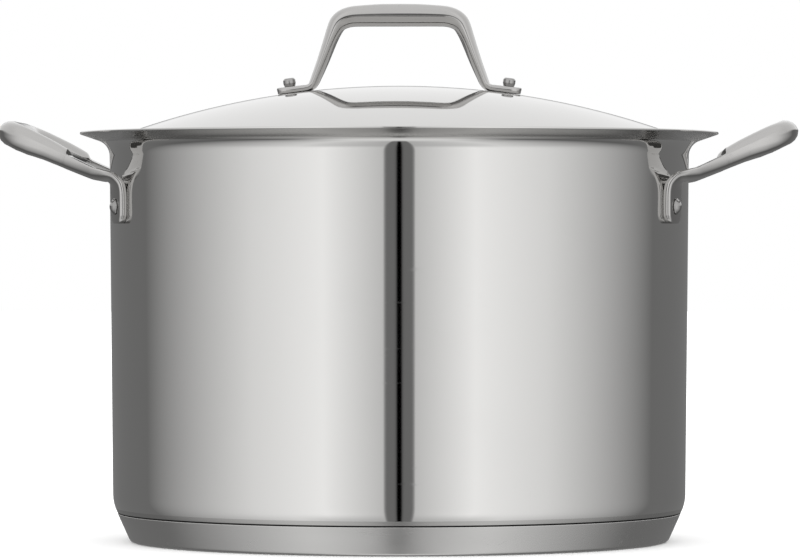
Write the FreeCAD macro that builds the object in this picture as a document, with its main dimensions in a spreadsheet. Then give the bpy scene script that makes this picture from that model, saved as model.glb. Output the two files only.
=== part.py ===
import FreeCAD, Part

import math
import os

import Sketcher

# Water bath canner: a flared stock pot with a domed lid and a lift-out jar rack.
# The origin is the centre of the pot's underside, +Z is up, and the two side handles
# lie along X.  Sizes are millimetres and angles are degrees.

VECTOR = FreeCAD.Vector
X_AXIS = VECTOR(1, 0, 0)
Y_AXIS = VECTOR(0, 1, 0)
Z_AXIS = VECTOR(0, 0, 1)

DIMENSIONS = [
    # pot shell: drawn sheet with a flared pouring lip
    ("rim_height", 216.7),          # top edge of the lip above the table
    ("rim_radius", 169.1),
    ("lip_slope", 19.0),            # lip above the horizontal
    ("lip_bend", 8.5),              # outside radius between wall and lip
    ("pot_sheet", 1.2),
    ("lip_edge", 0.48),             # rounding of the lip's cut edge
    ("body_radius", 153.45),        # outside of the wall where it meets the lip
    ("shoulder_height", 20.0),      # where the wall turns in towards the base
    ("shoulder_bend", 21.0),
    ("bottom_bend", 10.0),
    # encapsulated base
    ("joint_height", 14.9),         # top edge of the base cap
    ("joint_radius", 149.3),
    ("joint_gap", 0.4),
    ("base_slope", 24.5),           # side of the base, from the vertical
    ("cap_sheet", 0.8),
    ("cap_bend", 2.5),
    ("core_top", 6.5),
    ("core_radius_low", 140.5),
    ("core_radius_high", 138.0),
    # side handles
    ("tab_angle", 21.3),            # rivet line each side of the handle's middle
    ("tab_half_angle", 3.46),
    ("tab_thickness", 3.6),
    ("tab_bottom", 167.7),
    ("tab_top", 192.0),
    ("tab_corner", 6.0),
    ("loop_reach", 210.5),          # outermost point of the loop from the pot's axis
    ("loop_half_width", 64.0),
    ("loop_end_half_width", 50.0),
    ("loop_bar", 14.0),             # width of the bar, in the plane of the loop
    ("loop_corner", 16.0),
    ("loop_root_bend", 20.0),       # plan radius where the tabs turn into the legs
    ("loop_root_flare", 2.0),       # the legs stand this much wider than the loop
    ("loop_root_width", 17.5),      # width of a leg where it meets its tab
    ("loop_root_run", 5.0),
    ("loop_root_x", 149.0),         # underside of the bar where it leaves the tab
    ("loop_root_low", 186.4),
    ("loop_middle_x", 181.0),
    ("loop_middle_low", 199.8),
    ("loop_tip_x", 197.0),
    ("loop_tip_low", 205.4),
    ("loop_nose_low", 214.2),
    ("loop_nose_inset", 5.5),
    ("loop_crest", 221.9),
    ("loop_crest_x", 199.0),
    ("loop_crest_fall", 0.3),
    ("loop_step_high", 206.0),      # top of the bar where the grip thins to the leg
    ("loop_step_low", 201.6),
    ("loop_step_x", 170.0),
    ("loop_neck_x", 163.0),
    ("loop_seat_x", 138.0),
    ("loop_seat_low", 182.5),
    ("loop_seat_high", 190.4),
    ("loop_nose_bend", 13.0),
    ("loop_crest_bend", 5.2),
    ("wall_space_top", 202.0),      # the wall takes its space out of the legs up to here
    ("plan_margin", 20.0),          # stock cut away outside the loop
    ("plan_inset", 1.0),            # each plan outline lies this far inside the last
    # rivets
    ("rivet_height", 176.7),
    ("rivet_shank", 3.0),
    ("rivet_head", 4.25),
    ("rivet_head_rise", 2.6),
    ("rivet_foot", 5.0),
    ("rivet_foot_rise", 1.3),
    ("rivet_foot_gap", 0.1),        # flat foot clears the curved wall by this much
    ("hole_play", 0.05),
    ("drill_run", 20.0),            # a drill starts and ends this far from the sheet
    # lid
    ("dome_top", 240.9),
    ("dome_bend", 428.0),           # spherical radius of the dome
    ("dome_edge", 146.5),
    ("lid_sheet", 0.8),
    ("valley_inner", 147.3),
    ("valley_outer", 150.2),
    ("valley_floor", 206.0),
    ("skirt_radius", 150.6),
    ("flange_radius", 161.0),
    ("seat_gap", 0.3),              # lid flange above the pot's lip
    # lid handle
    ("grip_crown", 217.0),          # radius of the gentle arch along the grip
    ("grip_under", 272.4),
    ("grip_outer_x", 33.7),
    ("grip_outer_z", 282.0),
    ("grip_inner_x", 29.5),
    ("grip_outer_bend", 10.5),
    ("grip_inner_bend", 8.0),
    ("grip_width", 14.0),
    ("foot_outer_x", 48.2),
    ("foot_outer_z", 241.8),
    ("foot_inner_x", 45.2),
    ("foot_inner_z", 238.6),
    ("foot_outer_bend", 2.5),
    ("foot_inner_bend", 4.0),
    ("lid_tab_reach", 64.7),
    ("lid_tab_low", 236.3),
    ("lid_tab_thickness", 3.6),
    ("grip_edge", 1.2),
    ("lid_rivet_x", 57.5),
    ("lid_rivet_shank", 2.0),
    ("lid_rivet_collar", 2.8),
    ("lid_rivet_head", 3.3),
    ("lid_rivet_head_rise", 4.4),
    ("lid_rivet_seat", 3.78),       # head above the dome, just clear of the sloping tab
    ("lid_rivet_chamfer", 0.8),
    ("lid_rivet_swell", 1.6),       # height over which the collar swells to the head
    ("lid_rivet_foot_gap", 0.05),
    ("lid_rivet_foot", 4.0),
    ("lid_rivet_foot_rise", 1.2),
    # jar rack
    ("rack_gap", 0.3),              # feet above the pot's floor
    ("rack_radius", 138.0),         # centre line of the hoops
    ("hoop_wire", 2.5),             # wire sizes are radii
    ("thin_wire", 2.0),
    ("foot_loop", 7.0),
    ("rack_height", 100.0),         # centre of the top hoop above the table
    ("centre_ring_radius", 45.0),
    ("base_wire_step", 24.0),
    ("eye_y", 45.0),
    ("eye_hole", 2.25),
    ("eye_wire", 2.0),
    ("bail_leg_y", 40.5),
    ("bail_length", 86.0),
    ("bail_pin_end", 50.5),
    ("bail_corner", 12.0),
    ("bail_pin_bend", 3.0),
]

# Shared places, written once as expressions on the sheet.
WALL_RISE = "(dims.rim_height - dims.pot_sheet / cos(dims.lip_slope)" \
            " - (dims.rim_radius - dims.body_radius) * tan(dims.lip_slope))"
SHOULDER_RADIUS = "(dims.joint_radius" \
                  " + (dims.shoulder_height - dims.joint_height) * tan(dims.base_slope))"
CAP_FACE = "(dims.joint_radius - dims.cap_sheet / cos(dims.base_slope))"
SLANT_SHEET = "dims.pot_sheet / cos(dims.base_slope)"
FLOOR = "(dims.core_top + dims.pot_sheet)"
BASE_HOOP = f"({FLOOR} + dims.rack_gap + dims.thin_wire + dims.foot_loop + dims.hoop_wire)"
BASE_WIRE = f"({BASE_HOOP} + dims.hoop_wire + dims.thin_wire)"
DIVIDER = "(dims.rack_height + dims.hoop_wire + dims.thin_wire)"
EYE_OUTSIDE = "(dims.eye_hole + 2 * dims.eye_wire)"
PIVOT_HEIGHT = f"(dims.rack_height + dims.hoop_wire + {EYE_OUTSIDE})"
PIVOT_X = "sqrt(dims.rack_radius * dims.rack_radius - dims.eye_y * dims.eye_y)"

JAR_PLACES = 6                      # jars round the middle one
BASE_WIRES_EACH_SIDE = 5
FOOT_COUNT = 4
FOOT_START = 45                     # the first foot's angle from the side handles
NEAR = 0.1                          # an edge this close to a named place is the one meant

document = FreeCAD.newDocument("water_bath_canner")
sheet = document.addObject("Spreadsheet::Sheet", "dims")
for row, (alias, value) in enumerate(DIMENSIONS, start=1):
    sheet.set(f"A{row}", alias)
    sheet.set(f"B{row}", str(value))
    sheet.setAlias(f"B{row}", alias)
document.recompute()

nodes = []


def size(expression):
    """Value of an expression on the sheet, as a plain number."""
    return float(sheet.evalExpression(str(expression)))


def wall_radius(height):
    """Outside radius of the pot's straight wall at a height, as an expression."""
    draft = f"(dims.body_radius - {SHOULDER_RADIUS}) / ({WALL_RISE} - dims.shoulder_height)"
    return f"({SHOULDER_RADIUS} + ({height} - dims.shoulder_height) * {draft})"


def dome_height(radius):
    """Top of the dome at a radius, as an expression."""
    return f"(dims.dome_top - dims.dome_bend + sqrt(dims.dome_bend * dims.dome_bend" \
           f" - {radius} * {radius}))"


def lip_height(radius):
    """Upper face of the pot's lip at a radius, as an expression."""
    return f"(dims.rim_height - (dims.rim_radius - {radius}) * tan(dims.lip_slope))"


def bind(item, **expressions):
    """Tie properties of an object to the sheet."""
    for name, expression in expressions.items():
        item.setExpression(name, expression)


def plane_of(body, role):
    """One of the body's own origin planes or axes."""
    return next(f for f in body.Origin.OriginFeatures if f.Role == role)


def new_body(name):
    """A PartDesign body that becomes one node."""
    body = document.addObject("PartDesign::Body", name)
    body.Label = name
    nodes.append(body)
    return body


def new_sketch(body, name, plane, shift=None):
    """A sketch on one of the body's origin planes, optionally moved within it."""
    sketch = body.newObject("Sketcher::SketchObject", name)
    sketch.AttachmentSupport = [(plane_of(body, plane), "")]
    sketch.MapMode = "FlatFace"
    if shift is not None:
        for axis, expression in zip("xyz", shift):
            sketch.setExpression(f".AttachmentOffset.Base.{axis}", expression)
    return sketch


def fix_point(sketch, geometry, end, x, y):
    """Hold one end of a geometry at a place given by two expressions."""
    for kind, expression in (("DistanceX", x), ("DistanceY", y)):
        value = FreeCAD.Units.Quantity(size(expression), FreeCAD.Units.Length)
        index = sketch.addConstraint(Sketcher.Constraint(kind, -1, 1, geometry, end, value))
        sketch.setExpression(f"Constraints[{index}]", str(expression))


def arc_between(first, last, radius, side):
    """Minor arc from first to last; side is +1 when its centre lies left of the run."""
    middle = (first + last) * 0.5
    run = last - first
    height = math.sqrt(radius ** 2 - (run.Length / 2) ** 2)
    left = VECTOR(-run.y, run.x, 0).normalize()
    centre = middle + left * height * side
    crest = centre + (middle - centre).normalize() * radius
    return Part.Arc(first, crest, last)


def outline(sketch, corners, arcs=None, closed=True):
    """Straight and round runs through corners: each is (x, y) or (x, y, rounding).

    arcs maps the index of a run to (radius expression, side of its centre).
    Only a corner between two straight runs may be rounded.
    """
    arcs = arcs or {}
    places = [VECTOR(size(corner[0]), size(corner[1]), 0) for corner in corners]
    count = len(corners) if closed else len(corners) - 1
    ends = []
    for run in range(count):
        first = places[run]
        last = places[(run + 1) % len(places)]
        if run in arcs:
            radius, side = arcs[run]
            curve = arc_between(first, last, size(radius), side)
            geometry = sketch.addGeometry(curve)
            start = sketch.getPoint(geometry, 1)
            forward = start.distanceToPoint(first) < start.distanceToPoint(last)
            ends.append((geometry, 1 if forward else 2, 2 if forward else 1))
        else:
            geometry = sketch.addGeometry(Part.LineSegment(first, last))
            ends.append((geometry, 1, 2))
    for run in range(count if closed else count - 1):
        here = ends[run]
        following = ends[(run + 1) % count]
        sketch.addConstraint(
            Sketcher.Constraint("Coincident", here[0], here[2], following[0], following[1]))
    anchors = [(end[0], end[1]) for end in ends]
    if not closed:
        anchors.append((ends[-1][0], ends[-1][2]))
    radii = [(ends[run][0], radius) for run, (radius, _side) in arcs.items()]
    for run, corner in enumerate(corners):
        if len(corner) == 3:
            sketch.fillet(ends[run][0], ends[run][1], size(corner[2]), True, True)
            rounding = sketch.GeometryCount - 2
            anchors[run] = (rounding + 1, 1)
            radii.append((rounding, corner[2]))
    for (geometry, end), corner in zip(anchors, corners):
        fix_point(sketch, geometry, end, corner[0], corner[1])
    for geometry, radius in radii:
        value = FreeCAD.Units.Quantity(size(radius), FreeCAD.Units.Length)
        index = sketch.addConstraint(Sketcher.Constraint("Radius", geometry, value))
        sketch.setExpression(f"Constraints[{index}]", str(radius))


def revolve(body, sketch, axis="V_Axis", angle=360.0):
    """Turn a sketch about one of its own axes; a part turn is centred on the sketch."""
    feature = body.newObject("PartDesign::Revolution", f"{sketch.Name}_turned")
    feature.Profile = sketch
    feature.ReferenceAxis = (sketch, [axis])
    feature.Angle = angle
    feature.Midplane = angle < 360
    document.recompute()
    return feature


def edges_near(shape, x, z):
    """Names of the round edges about the Z axis at radius x and height z."""
    found = []
    for index, edge in enumerate(shape.Edges, start=1):
        box = edge.BoundBox
        if box.ZLength < NEAR and abs(box.ZMax - z) < NEAR and abs(box.XMax - x) < NEAR:
            found.append(f"Edge{index}")
    return found


def round_rings(body, rings):
    """Fillet ring edges of a turned body: each is (x, z, radius), all expressions."""
    for number, (x, z, radius) in enumerate(rings, start=1):
        base = body.Tip
        names = edges_near(base.Shape, size(x), size(z))
        fillet = body.newObject("PartDesign::Fillet", f"{body.Name}_bend_{number}")
        fillet.Base = (base, names)
        bind(fillet, Radius=radius)
        document.recompute()


def bore(body, name, shank, place, direction):
    """Drill a rivet hole both ways from a place, with play round the rivet's shank."""
    hole = body.newObject("PartDesign::SubtractiveCylinder", name)
    hole.AttachmentSupport = [(plane_of(body, "XY_Plane"), "")]
    hole.MapMode = "FlatFace"
    start = place - direction * size("dims.drill_run")
    hole.AttachmentOffset = FreeCAD.Placement(start, FreeCAD.Rotation(Z_AXIS, direction))
    bind(hole, Radius=f"{shank} + dims.hole_play", Height="2 * dims.drill_run")
    document.recompute()


def radial_bore(body, name, angle):
    """Drill a hole for a side handle's rivet along a radius of the pot."""
    direction = VECTOR(math.cos(math.radians(angle)), math.sin(math.radians(angle)), 0)
    place = direction * size("dims.body_radius") + Z_AXIS * size("dims.rivet_height")
    bore(body, name, "dims.rivet_shank", place, direction)


def rivet_angles():
    """Angles of the four handle rivets about the pot's axis, with their names."""
    tab = size("dims.tab_angle")
    return {"right_handle_front_rivet": -tab, "right_handle_rear_rivet": tab,
            "left_handle_front_rivet": 180 + tab, "left_handle_rear_rivet": 180 - tab}


def make_pot_shell():
    """One drawn sheet: floor, slanted foot, drafted wall and flared lip."""
    body = new_body("pot_shell")
    sketch = new_sketch(body, "shell_section", "XZ_Plane")
    slant = "tan(dims.base_slope)"
    floor_under = f"{CAP_FACE} - (dims.joint_height - dims.core_top) * {slant}"
    floor_upper = f"{CAP_FACE} - (dims.joint_height - {FLOOR}) * {slant} - {SLANT_SHEET}"
    shoulder_inside = "dims.shoulder_height + dims.pot_sheet * tan(dims.base_slope / 2)"
    step_height = "dims.joint_height + dims.joint_gap"
    lip_under = "dims.rim_height - dims.pot_sheet / cos(dims.lip_slope)"
    wall_inside = "dims.body_radius - dims.pot_sheet"
    outline(sketch, [
        ("0", "dims.core_top"),
        (floor_under, "dims.core_top"),
        (CAP_FACE, "dims.joint_height"),
        ("dims.joint_radius", step_height),
        (SHOULDER_RADIUS, "dims.shoulder_height"),
        ("dims.body_radius", WALL_RISE),
        ("dims.rim_radius", lip_under),
        ("dims.rim_radius", "dims.rim_height"),
        (wall_inside, lip_height(f"({wall_inside})")),
        (f"{SHOULDER_RADIUS} - dims.pot_sheet", shoulder_inside),
        (f"dims.joint_radius - {SLANT_SHEET}", step_height),
        (f"{CAP_FACE} - {SLANT_SHEET}", "dims.joint_height"),
        (floor_upper, FLOOR),
        ("0", FLOOR),
    ])
    revolve(body, sketch)
    round_rings(body, [
        (floor_under, "dims.core_top", "dims.bottom_bend"),
        (floor_upper, FLOOR, "dims.bottom_bend - dims.pot_sheet"),
        (SHOULDER_RADIUS, "dims.shoulder_height", "dims.shoulder_bend"),
        ("dims.body_radius", WALL_RISE, "dims.lip_bend"),
        (wall_inside, lip_height(f"({wall_inside})"), "dims.lip_bend + dims.pot_sheet"),
        ("dims.rim_radius", lip_under, "dims.lip_edge"),
        ("dims.rim_radius", "dims.rim_height", "dims.lip_edge"),
    ])
    for name, angle in rivet_angles().items():
        radial_bore(body, f"{name}_hole", angle)


def make_base():
    """Aluminium core pressed between the pot's floor and a steel cap."""
    core = new_body("base_core")
    sketch = new_sketch(core, "core_section", "XZ_Plane")
    outline(sketch, [
        ("0", "dims.cap_sheet"),
        ("dims.core_radius_low", "dims.cap_sheet"),
        ("dims.core_radius_high", "dims.core_top"),
        ("0", "dims.core_top"),
    ])
    revolve(core, sketch)

    cap = new_body("base_cap")
    sketch = new_sketch(cap, "cap_section", "XZ_Plane")
    slant = "tan(dims.base_slope)"
    outside = f"dims.joint_radius - dims.joint_height * {slant}"
    inside = f"{CAP_FACE} - (dims.joint_height - dims.cap_sheet) * {slant}"
    outline(sketch, [
        ("0", "0"),
        (outside, "0"),
        ("dims.joint_radius", "dims.joint_height"),
        (CAP_FACE, "dims.joint_height"),
        (inside, "dims.cap_sheet"),
        ("0", "dims.cap_sheet"),
    ])
    revolve(cap, sketch)
    round_rings(cap, [
        (outside, "0", "dims.cap_bend"),
        (inside, "dims.cap_sheet", "dims.cap_bend - dims.cap_sheet"),
    ])


def pad(body, sketch, length):
    """Extrude a sketch equally to both sides of its plane."""
    feature = body.newObject("PartDesign::Pad", f"{sketch.Name}_pad")
    feature.Profile = sketch
    feature.Midplane = True
    bind(feature, Length=length)
    document.recompute()


def pocket_both_ways(body, sketch):
    """Cut a sketch right through the body on both sides of its plane."""
    feature = body.newObject("PartDesign::Pocket", f"{sketch.Name}_pocket")
    feature.Profile = sketch
    feature.Midplane = True
    bind(feature, Length="2 * (dims.loop_crest + dims.plan_margin)")
    document.recompute()


def make_side_handle(name, turn):
    """Cast loop that rises outwards from two riveted tabs, built on the +X side."""
    body = new_body(name)

    # Tabs: one band that hugs the wall, cut into two by the finger opening.
    band = new_sketch(body, f"{name}_tab_section", "XZ_Plane")
    low_wall = wall_radius("dims.tab_bottom")
    high_wall = wall_radius("dims.tab_top")
    outline(band, [
        (low_wall, "dims.tab_bottom"),
        (f"{low_wall} + dims.tab_thickness", "dims.tab_bottom"),
        (f"{high_wall} + dims.tab_thickness", "dims.tab_top"),
        (high_wall, "dims.tab_top"),
    ])
    sweep = "2 * (dims.tab_angle + dims.tab_half_angle)"
    turned = revolve(body, band, angle=size(sweep))
    bind(turned, Angle=sweep)

    # Side view of the loop: thin where it leaves the tabs, thick at the grip.
    side = new_sketch(body, f"{name}_side_view", "XZ_Plane")
    outline(side, [
        ("dims.loop_seat_x", "dims.loop_seat_low"),
        ("dims.loop_root_x", "dims.loop_root_low"),
        ("dims.loop_middle_x", "dims.loop_middle_low"),
        ("dims.loop_tip_x", "dims.loop_tip_low"),
        ("dims.loop_reach", "dims.loop_nose_low"),
        ("dims.loop_reach - dims.loop_nose_inset", "dims.loop_crest"),
        ("dims.loop_crest_x", "dims.loop_crest - dims.loop_crest_fall"),
        ("dims.loop_step_x", "dims.loop_step_high"),
        ("dims.loop_neck_x", "dims.loop_step_low"),
        ("dims.loop_seat_x", "dims.loop_seat_high"),
    ], arcs={3: ("dims.loop_nose_bend", 1), 4: ("dims.loop_crest_bend", 1)})
    pad(body, side, "2 * dims.loop_half_width")

    # Plan view: cut away everything outside the loop and the finger opening within it.
    plan = new_sketch(body, f"{name}_plan_view", "XY_Plane")
    far = "dims.loop_reach + dims.plan_margin"
    wide = "dims.loop_half_width + dims.plan_margin"
    start = "dims.plan_inset"
    inner_start = "2 * dims.plan_inset"
    end_x = "dims.loop_reach + dims.plan_inset"
    bar_end = "dims.loop_reach - dims.loop_bar"
    bar_y = "dims.loop_end_half_width - dims.loop_bar"
    end_y = "dims.loop_end_half_width"
    corner = "dims.loop_corner"
    inner_corner = "dims.loop_corner - dims.loop_bar / 2"
    turn_out = "dims.loop_root_bend"
    tab_out_x = "dims.loop_root_x + dims.loop_root_run"
    tab_outside = "dims.loop_half_width + dims.loop_root_flare"
    tab_inside = "dims.loop_half_width - dims.loop_root_width"
    loops = [
        [("0", wide), (far, wide), (far, f"-({wide})"), ("0", f"-({wide})")],
        [(start, tab_outside), (tab_out_x, tab_outside, turn_out), (end_x, end_y, corner),
         (end_x, f"-{end_y}", corner), (tab_out_x, f"-({tab_outside})", turn_out),
         (start, f"-({tab_outside})")],
        [(inner_start, tab_inside), (tab_out_x, tab_inside, turn_out),
         (bar_end, bar_y, inner_corner), (bar_end, f"-({bar_y})", inner_corner),
         (tab_out_x, f"-({tab_inside})", turn_out), (inner_start, f"-({tab_inside})")],
    ]
    for corners in loops:
        outline(plan, corners)
    pocket_both_ways(body, plan)

    # The pot's wall takes its own space out of the roots of the loop.
    wall = body.newObject("PartDesign::SubtractiveCone", f"{name}_wall_space")
    wall.AttachmentSupport = [(plane_of(body, "XY_Plane"), "")]
    wall.MapMode = "FlatFace"
    bind(wall, Radius1=wall_radius("dims.tab_bottom"), Radius2=wall_radius("dims.wall_space_top"),
         Height="dims.wall_space_top - dims.tab_bottom")
    wall.setExpression(".AttachmentOffset.Base.z", "dims.tab_bottom")
    document.recompute()
    round_tab_corners(body)
    for side_name, angle in (("front", -size("dims.tab_angle")), ("rear", size("dims.tab_angle"))):
        radial_bore(body, f"{name}_{side_name}_hole", angle)
    body.Placement = FreeCAD.Placement(VECTOR(0, 0, 0), FreeCAD.Rotation(Z_AXIS, turn))


def round_tab_corners(body):
    """Fillet the short edges at the lower corners of both tabs."""
    base = body.Tip
    names = []
    for index, edge in enumerate(base.Shape.Edges, start=1):
        box = edge.BoundBox
        at_foot = abs(box.ZMin - size("dims.tab_bottom")) < NEAR and box.ZLength < NEAR
        if at_foot and edge.Length < 2 * size("dims.tab_thickness"):
            names.append(f"Edge{index}")
    corners = body.newObject("PartDesign::Fillet", f"{body.Name}_tab_corners")
    corners.Base = (base, names)
    bind(corners, Radius="dims.tab_corner")
    document.recompute()


def make_rivet(name, angle):
    """Domed head outside the tab, plain shank, and a low head inside the pot."""
    body = new_body(name)
    sketch = new_sketch(body, f"{name}_section", "XZ_Plane", ("0", "dims.rivet_height", "0"))
    seat = f"{wall_radius('dims.rivet_height')} + dims.tab_thickness"
    inside = f"{wall_radius('dims.rivet_height')} - dims.pot_sheet - dims.rivet_foot_gap"
    outline(sketch, [
        (f"{inside} - dims.rivet_foot_rise", "0"),
        (f"{seat} + dims.rivet_head_rise", "0"),
        (seat, "dims.rivet_head"),
        (seat, "dims.rivet_shank"),
        (inside, "dims.rivet_shank"),
        (inside, "dims.rivet_foot"),
    ], arcs={
        1: ("(dims.rivet_head^2 + dims.rivet_head_rise^2) / (2 * dims.rivet_head_rise)", 1),
        5: ("(dims.rivet_foot^2 + dims.rivet_foot_rise^2) / (2 * dims.rivet_foot_rise)", 1),
    })
    revolve(body, sketch, axis="H_Axis")
    body.Placement = FreeCAD.Placement(VECTOR(0, 0, 0), FreeCAD.Rotation(Z_AXIS, angle))


def make_lid_dome():
    """One pressed sheet: spherical dome, valley that drops into the pot, seating flange."""
    body = new_body("lid_dome")
    sketch = new_sketch(body, "lid_section", "XZ_Plane")
    thick = "dims.lid_sheet"
    seat = "dims.seat_gap / cos(dims.lip_slope)"
    cover = f"(dims.seat_gap + {thick}) / cos(dims.lip_slope)"
    edge_inside = f"(dims.dome_edge - {thick})"
    bend_inside = f"(dims.dome_bend - {thick})"
    edge_under = f"dims.dome_top - dims.dome_bend" \
                 f" + sqrt({bend_inside} * {bend_inside} - {edge_inside} * {edge_inside})"
    skirt_outside = f"(dims.skirt_radius + {thick})"
    corners = {
        "crown": ("0", "dims.dome_top"),
        "edge": ("dims.dome_edge", dome_height("dims.dome_edge")),
        "valley_in": ("dims.valley_inner", "dims.valley_floor"),
        "valley_out": ("dims.valley_outer", "dims.valley_floor"),
        "brim": ("dims.skirt_radius", f"{lip_height('dims.skirt_radius')} + {cover}"),
        "rim_top": ("dims.flange_radius", f"{lip_height('dims.flange_radius')} + {cover}"),
        "rim_under": ("dims.flange_radius", f"{lip_height('dims.flange_radius')} + {seat}"),
        "brim_under": (skirt_outside, f"{lip_height(skirt_outside)} + {seat}"),
        "keel_out": (f"dims.valley_outer + {thick}", f"dims.valley_floor - {thick}"),
        "keel_in": (f"dims.valley_inner - {thick}", f"dims.valley_floor - {thick}"),
        "edge_under": (edge_inside, edge_under),
        "crown_under": ("0", f"dims.dome_top - {thick}"),
    }
    outline(sketch, list(corners.values()),
            arcs={0: ("dims.dome_bend", -1), 10: (bend_inside, 1)})
    revolve(body, sketch)
    bends = {"edge": "2 * dims.lid_sheet", "edge_under": thick, "valley_in": thick,
             "keel_in": "2 * dims.lid_sheet", "valley_out": thick,
             "keel_out": "2 * dims.lid_sheet", "brim": "3 * dims.lid_sheet",
             "brim_under": "2 * dims.lid_sheet"}
    round_rings(body, [(*corners[place], radius) for place, radius in bends.items()])
    for side_name, x, tilt in lid_rivet_places():
        place = VECTOR(x, 0, size(dome_height("dims.lid_rivet_x")))
        direction = VECTOR(math.sin(tilt), 0, math.cos(tilt))
        bore(body, f"{side_name}_rivet_hole", "dims.lid_rivet_shank", place, direction)


def lid_rivet_places():
    """Name, x and tilt from the vertical of the two rivets in the lid handle's tabs."""
    x = size("dims.lid_rivet_x")
    tilt = math.asin(x / size("dims.dome_bend"))
    return [("left", -x, -tilt), ("right", x, tilt)]


def make_lid_handle():
    """Cast trapezoid loop with two tabs that turn outwards along the dome."""
    body = new_body("lid_handle")
    front = new_sketch(body, "grip_front_view", "XZ_Plane")
    half = [
        ("dims.lid_tab_reach", "dims.lid_tab_low"),
        ("dims.lid_tab_reach", "dims.lid_tab_low + dims.lid_tab_thickness"),
        ("dims.foot_outer_x", "dims.foot_outer_z"),
        ("dims.grip_outer_x", "dims.grip_outer_z"),
    ]
    inner = [("dims.grip_inner_x", "dims.grip_under"), ("dims.foot_inner_x", "dims.foot_inner_z")]
    left = [(f"-{x}", z) for x, z in reversed(half)]
    left_inner = [(f"-{x}", z) for x, z in reversed(inner)]
    outline(front, half + left + left_inner + inner,
            arcs={3: ("dims.grip_crown", 1)})
    pad(body, front, "dims.grip_width")
    bends = [("dims.grip_outer_x", "dims.grip_outer_z", "dims.grip_outer_bend"),
             ("dims.grip_inner_x", "dims.grip_under", "dims.grip_inner_bend"),
             ("dims.foot_outer_x", "dims.foot_outer_z", "dims.foot_outer_bend"),
             ("dims.foot_inner_x", "dims.foot_inner_z", "dims.foot_inner_bend")]
    for number, (x, z, radius) in enumerate(bends, start=1):
        base = body.Tip
        names = []
        for index, edge in enumerate(base.Shape.Edges, start=1):
            box = edge.BoundBox
            across = box.YLength > size("dims.grip_width") - NEAR
            at_x = abs(abs(box.Center.x) - size(x)) < NEAR
            if across and at_x and abs(box.Center.z - size(z)) < NEAR:
                names.append(f"Edge{index}")
        fillet = body.newObject("PartDesign::Fillet", f"grip_bend_{number}")
        fillet.Base = (base, names)
        bind(fillet, Radius=radius)
        document.recompute()
    base = body.Tip
    faces = [index for index, face in enumerate(base.Shape.Faces, start=1)
             if face.BoundBox.YLength < NEAR]
    softened = body.newObject("PartDesign::Fillet", "grip_edges")
    softened.Base = (base, [f"Face{index}" for index in faces])
    bind(softened, Radius="dims.grip_edge")
    document.recompute()
    for side_name, x, tilt in lid_rivet_places():
        place = VECTOR(x, 0, size(dome_height("dims.lid_rivet_x")))
        direction = VECTOR(math.sin(tilt), 0, math.cos(tilt))
        bore(body, f"grip_{side_name}_hole", "dims.lid_rivet_shank", place, direction)


def make_lid_rivet(name, x, tilt):
    """Button head above the tab, shank, and a low head under the dome."""
    body = new_body(name)
    sketch = new_sketch(body, f"{name}_section", "XZ_Plane")
    seat = "dims.lid_rivet_seat"
    head = f"{seat} + dims.lid_rivet_head_rise"
    under = "-(dims.lid_sheet + dims.lid_rivet_foot_gap)"
    outline(sketch, [
        ("0", head),
        ("dims.lid_rivet_head - dims.lid_rivet_chamfer", head),
        ("dims.lid_rivet_head", f"{head} - dims.lid_rivet_chamfer"),
        ("dims.lid_rivet_head", f"{seat} + dims.lid_rivet_swell"),
        ("dims.lid_rivet_collar", seat),
        ("dims.lid_rivet_shank", seat),
        ("dims.lid_rivet_shank", under),
        ("dims.lid_rivet_foot", under),
        ("0", f"{under} - dims.lid_rivet_foot_rise"),
    ], arcs={7: ("(dims.lid_rivet_foot^2 + dims.lid_rivet_foot_rise^2)"
                 " / (2 * dims.lid_rivet_foot_rise)", -1)})
    revolve(body, sketch)
    body.Placement = FreeCAD.Placement(
        VECTOR(x, 0, size(dome_height("dims.lid_rivet_x"))),
        FreeCAD.Rotation(Y_AXIS, math.degrees(tilt)))


def group(name, pieces):
    """Several separate wires that stay together as one node."""
    compound = document.addObject("Part::Compound", name)
    compound.Label = name
    compound.Links = pieces
    nodes.append(compound)


def ring(name, radius, wire, height):
    """A hoop of round wire about the rack's axis."""
    hoop = document.addObject("Part::Torus", name)
    hoop.Label = name
    bind(hoop, Radius1=radius, Radius2=wire)
    hoop.setExpression(".Placement.Base.z", height)
    return hoop


def rod(name, place, direction, length, wire="dims.thin_wire"):
    """A straight wire from a place given by three expressions."""
    wire_rod = document.addObject("Part::Cylinder", name)
    bind(wire_rod, Radius=wire, Height=length)
    wire_rod.Placement = FreeCAD.Placement(VECTOR(0, 0, 0), FreeCAD.Rotation(Z_AXIS, direction))
    for axis, expression in zip("xyz", place):
        wire_rod.setExpression(f".Placement.Base.{axis}", expression)
    return wire_rod


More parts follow.
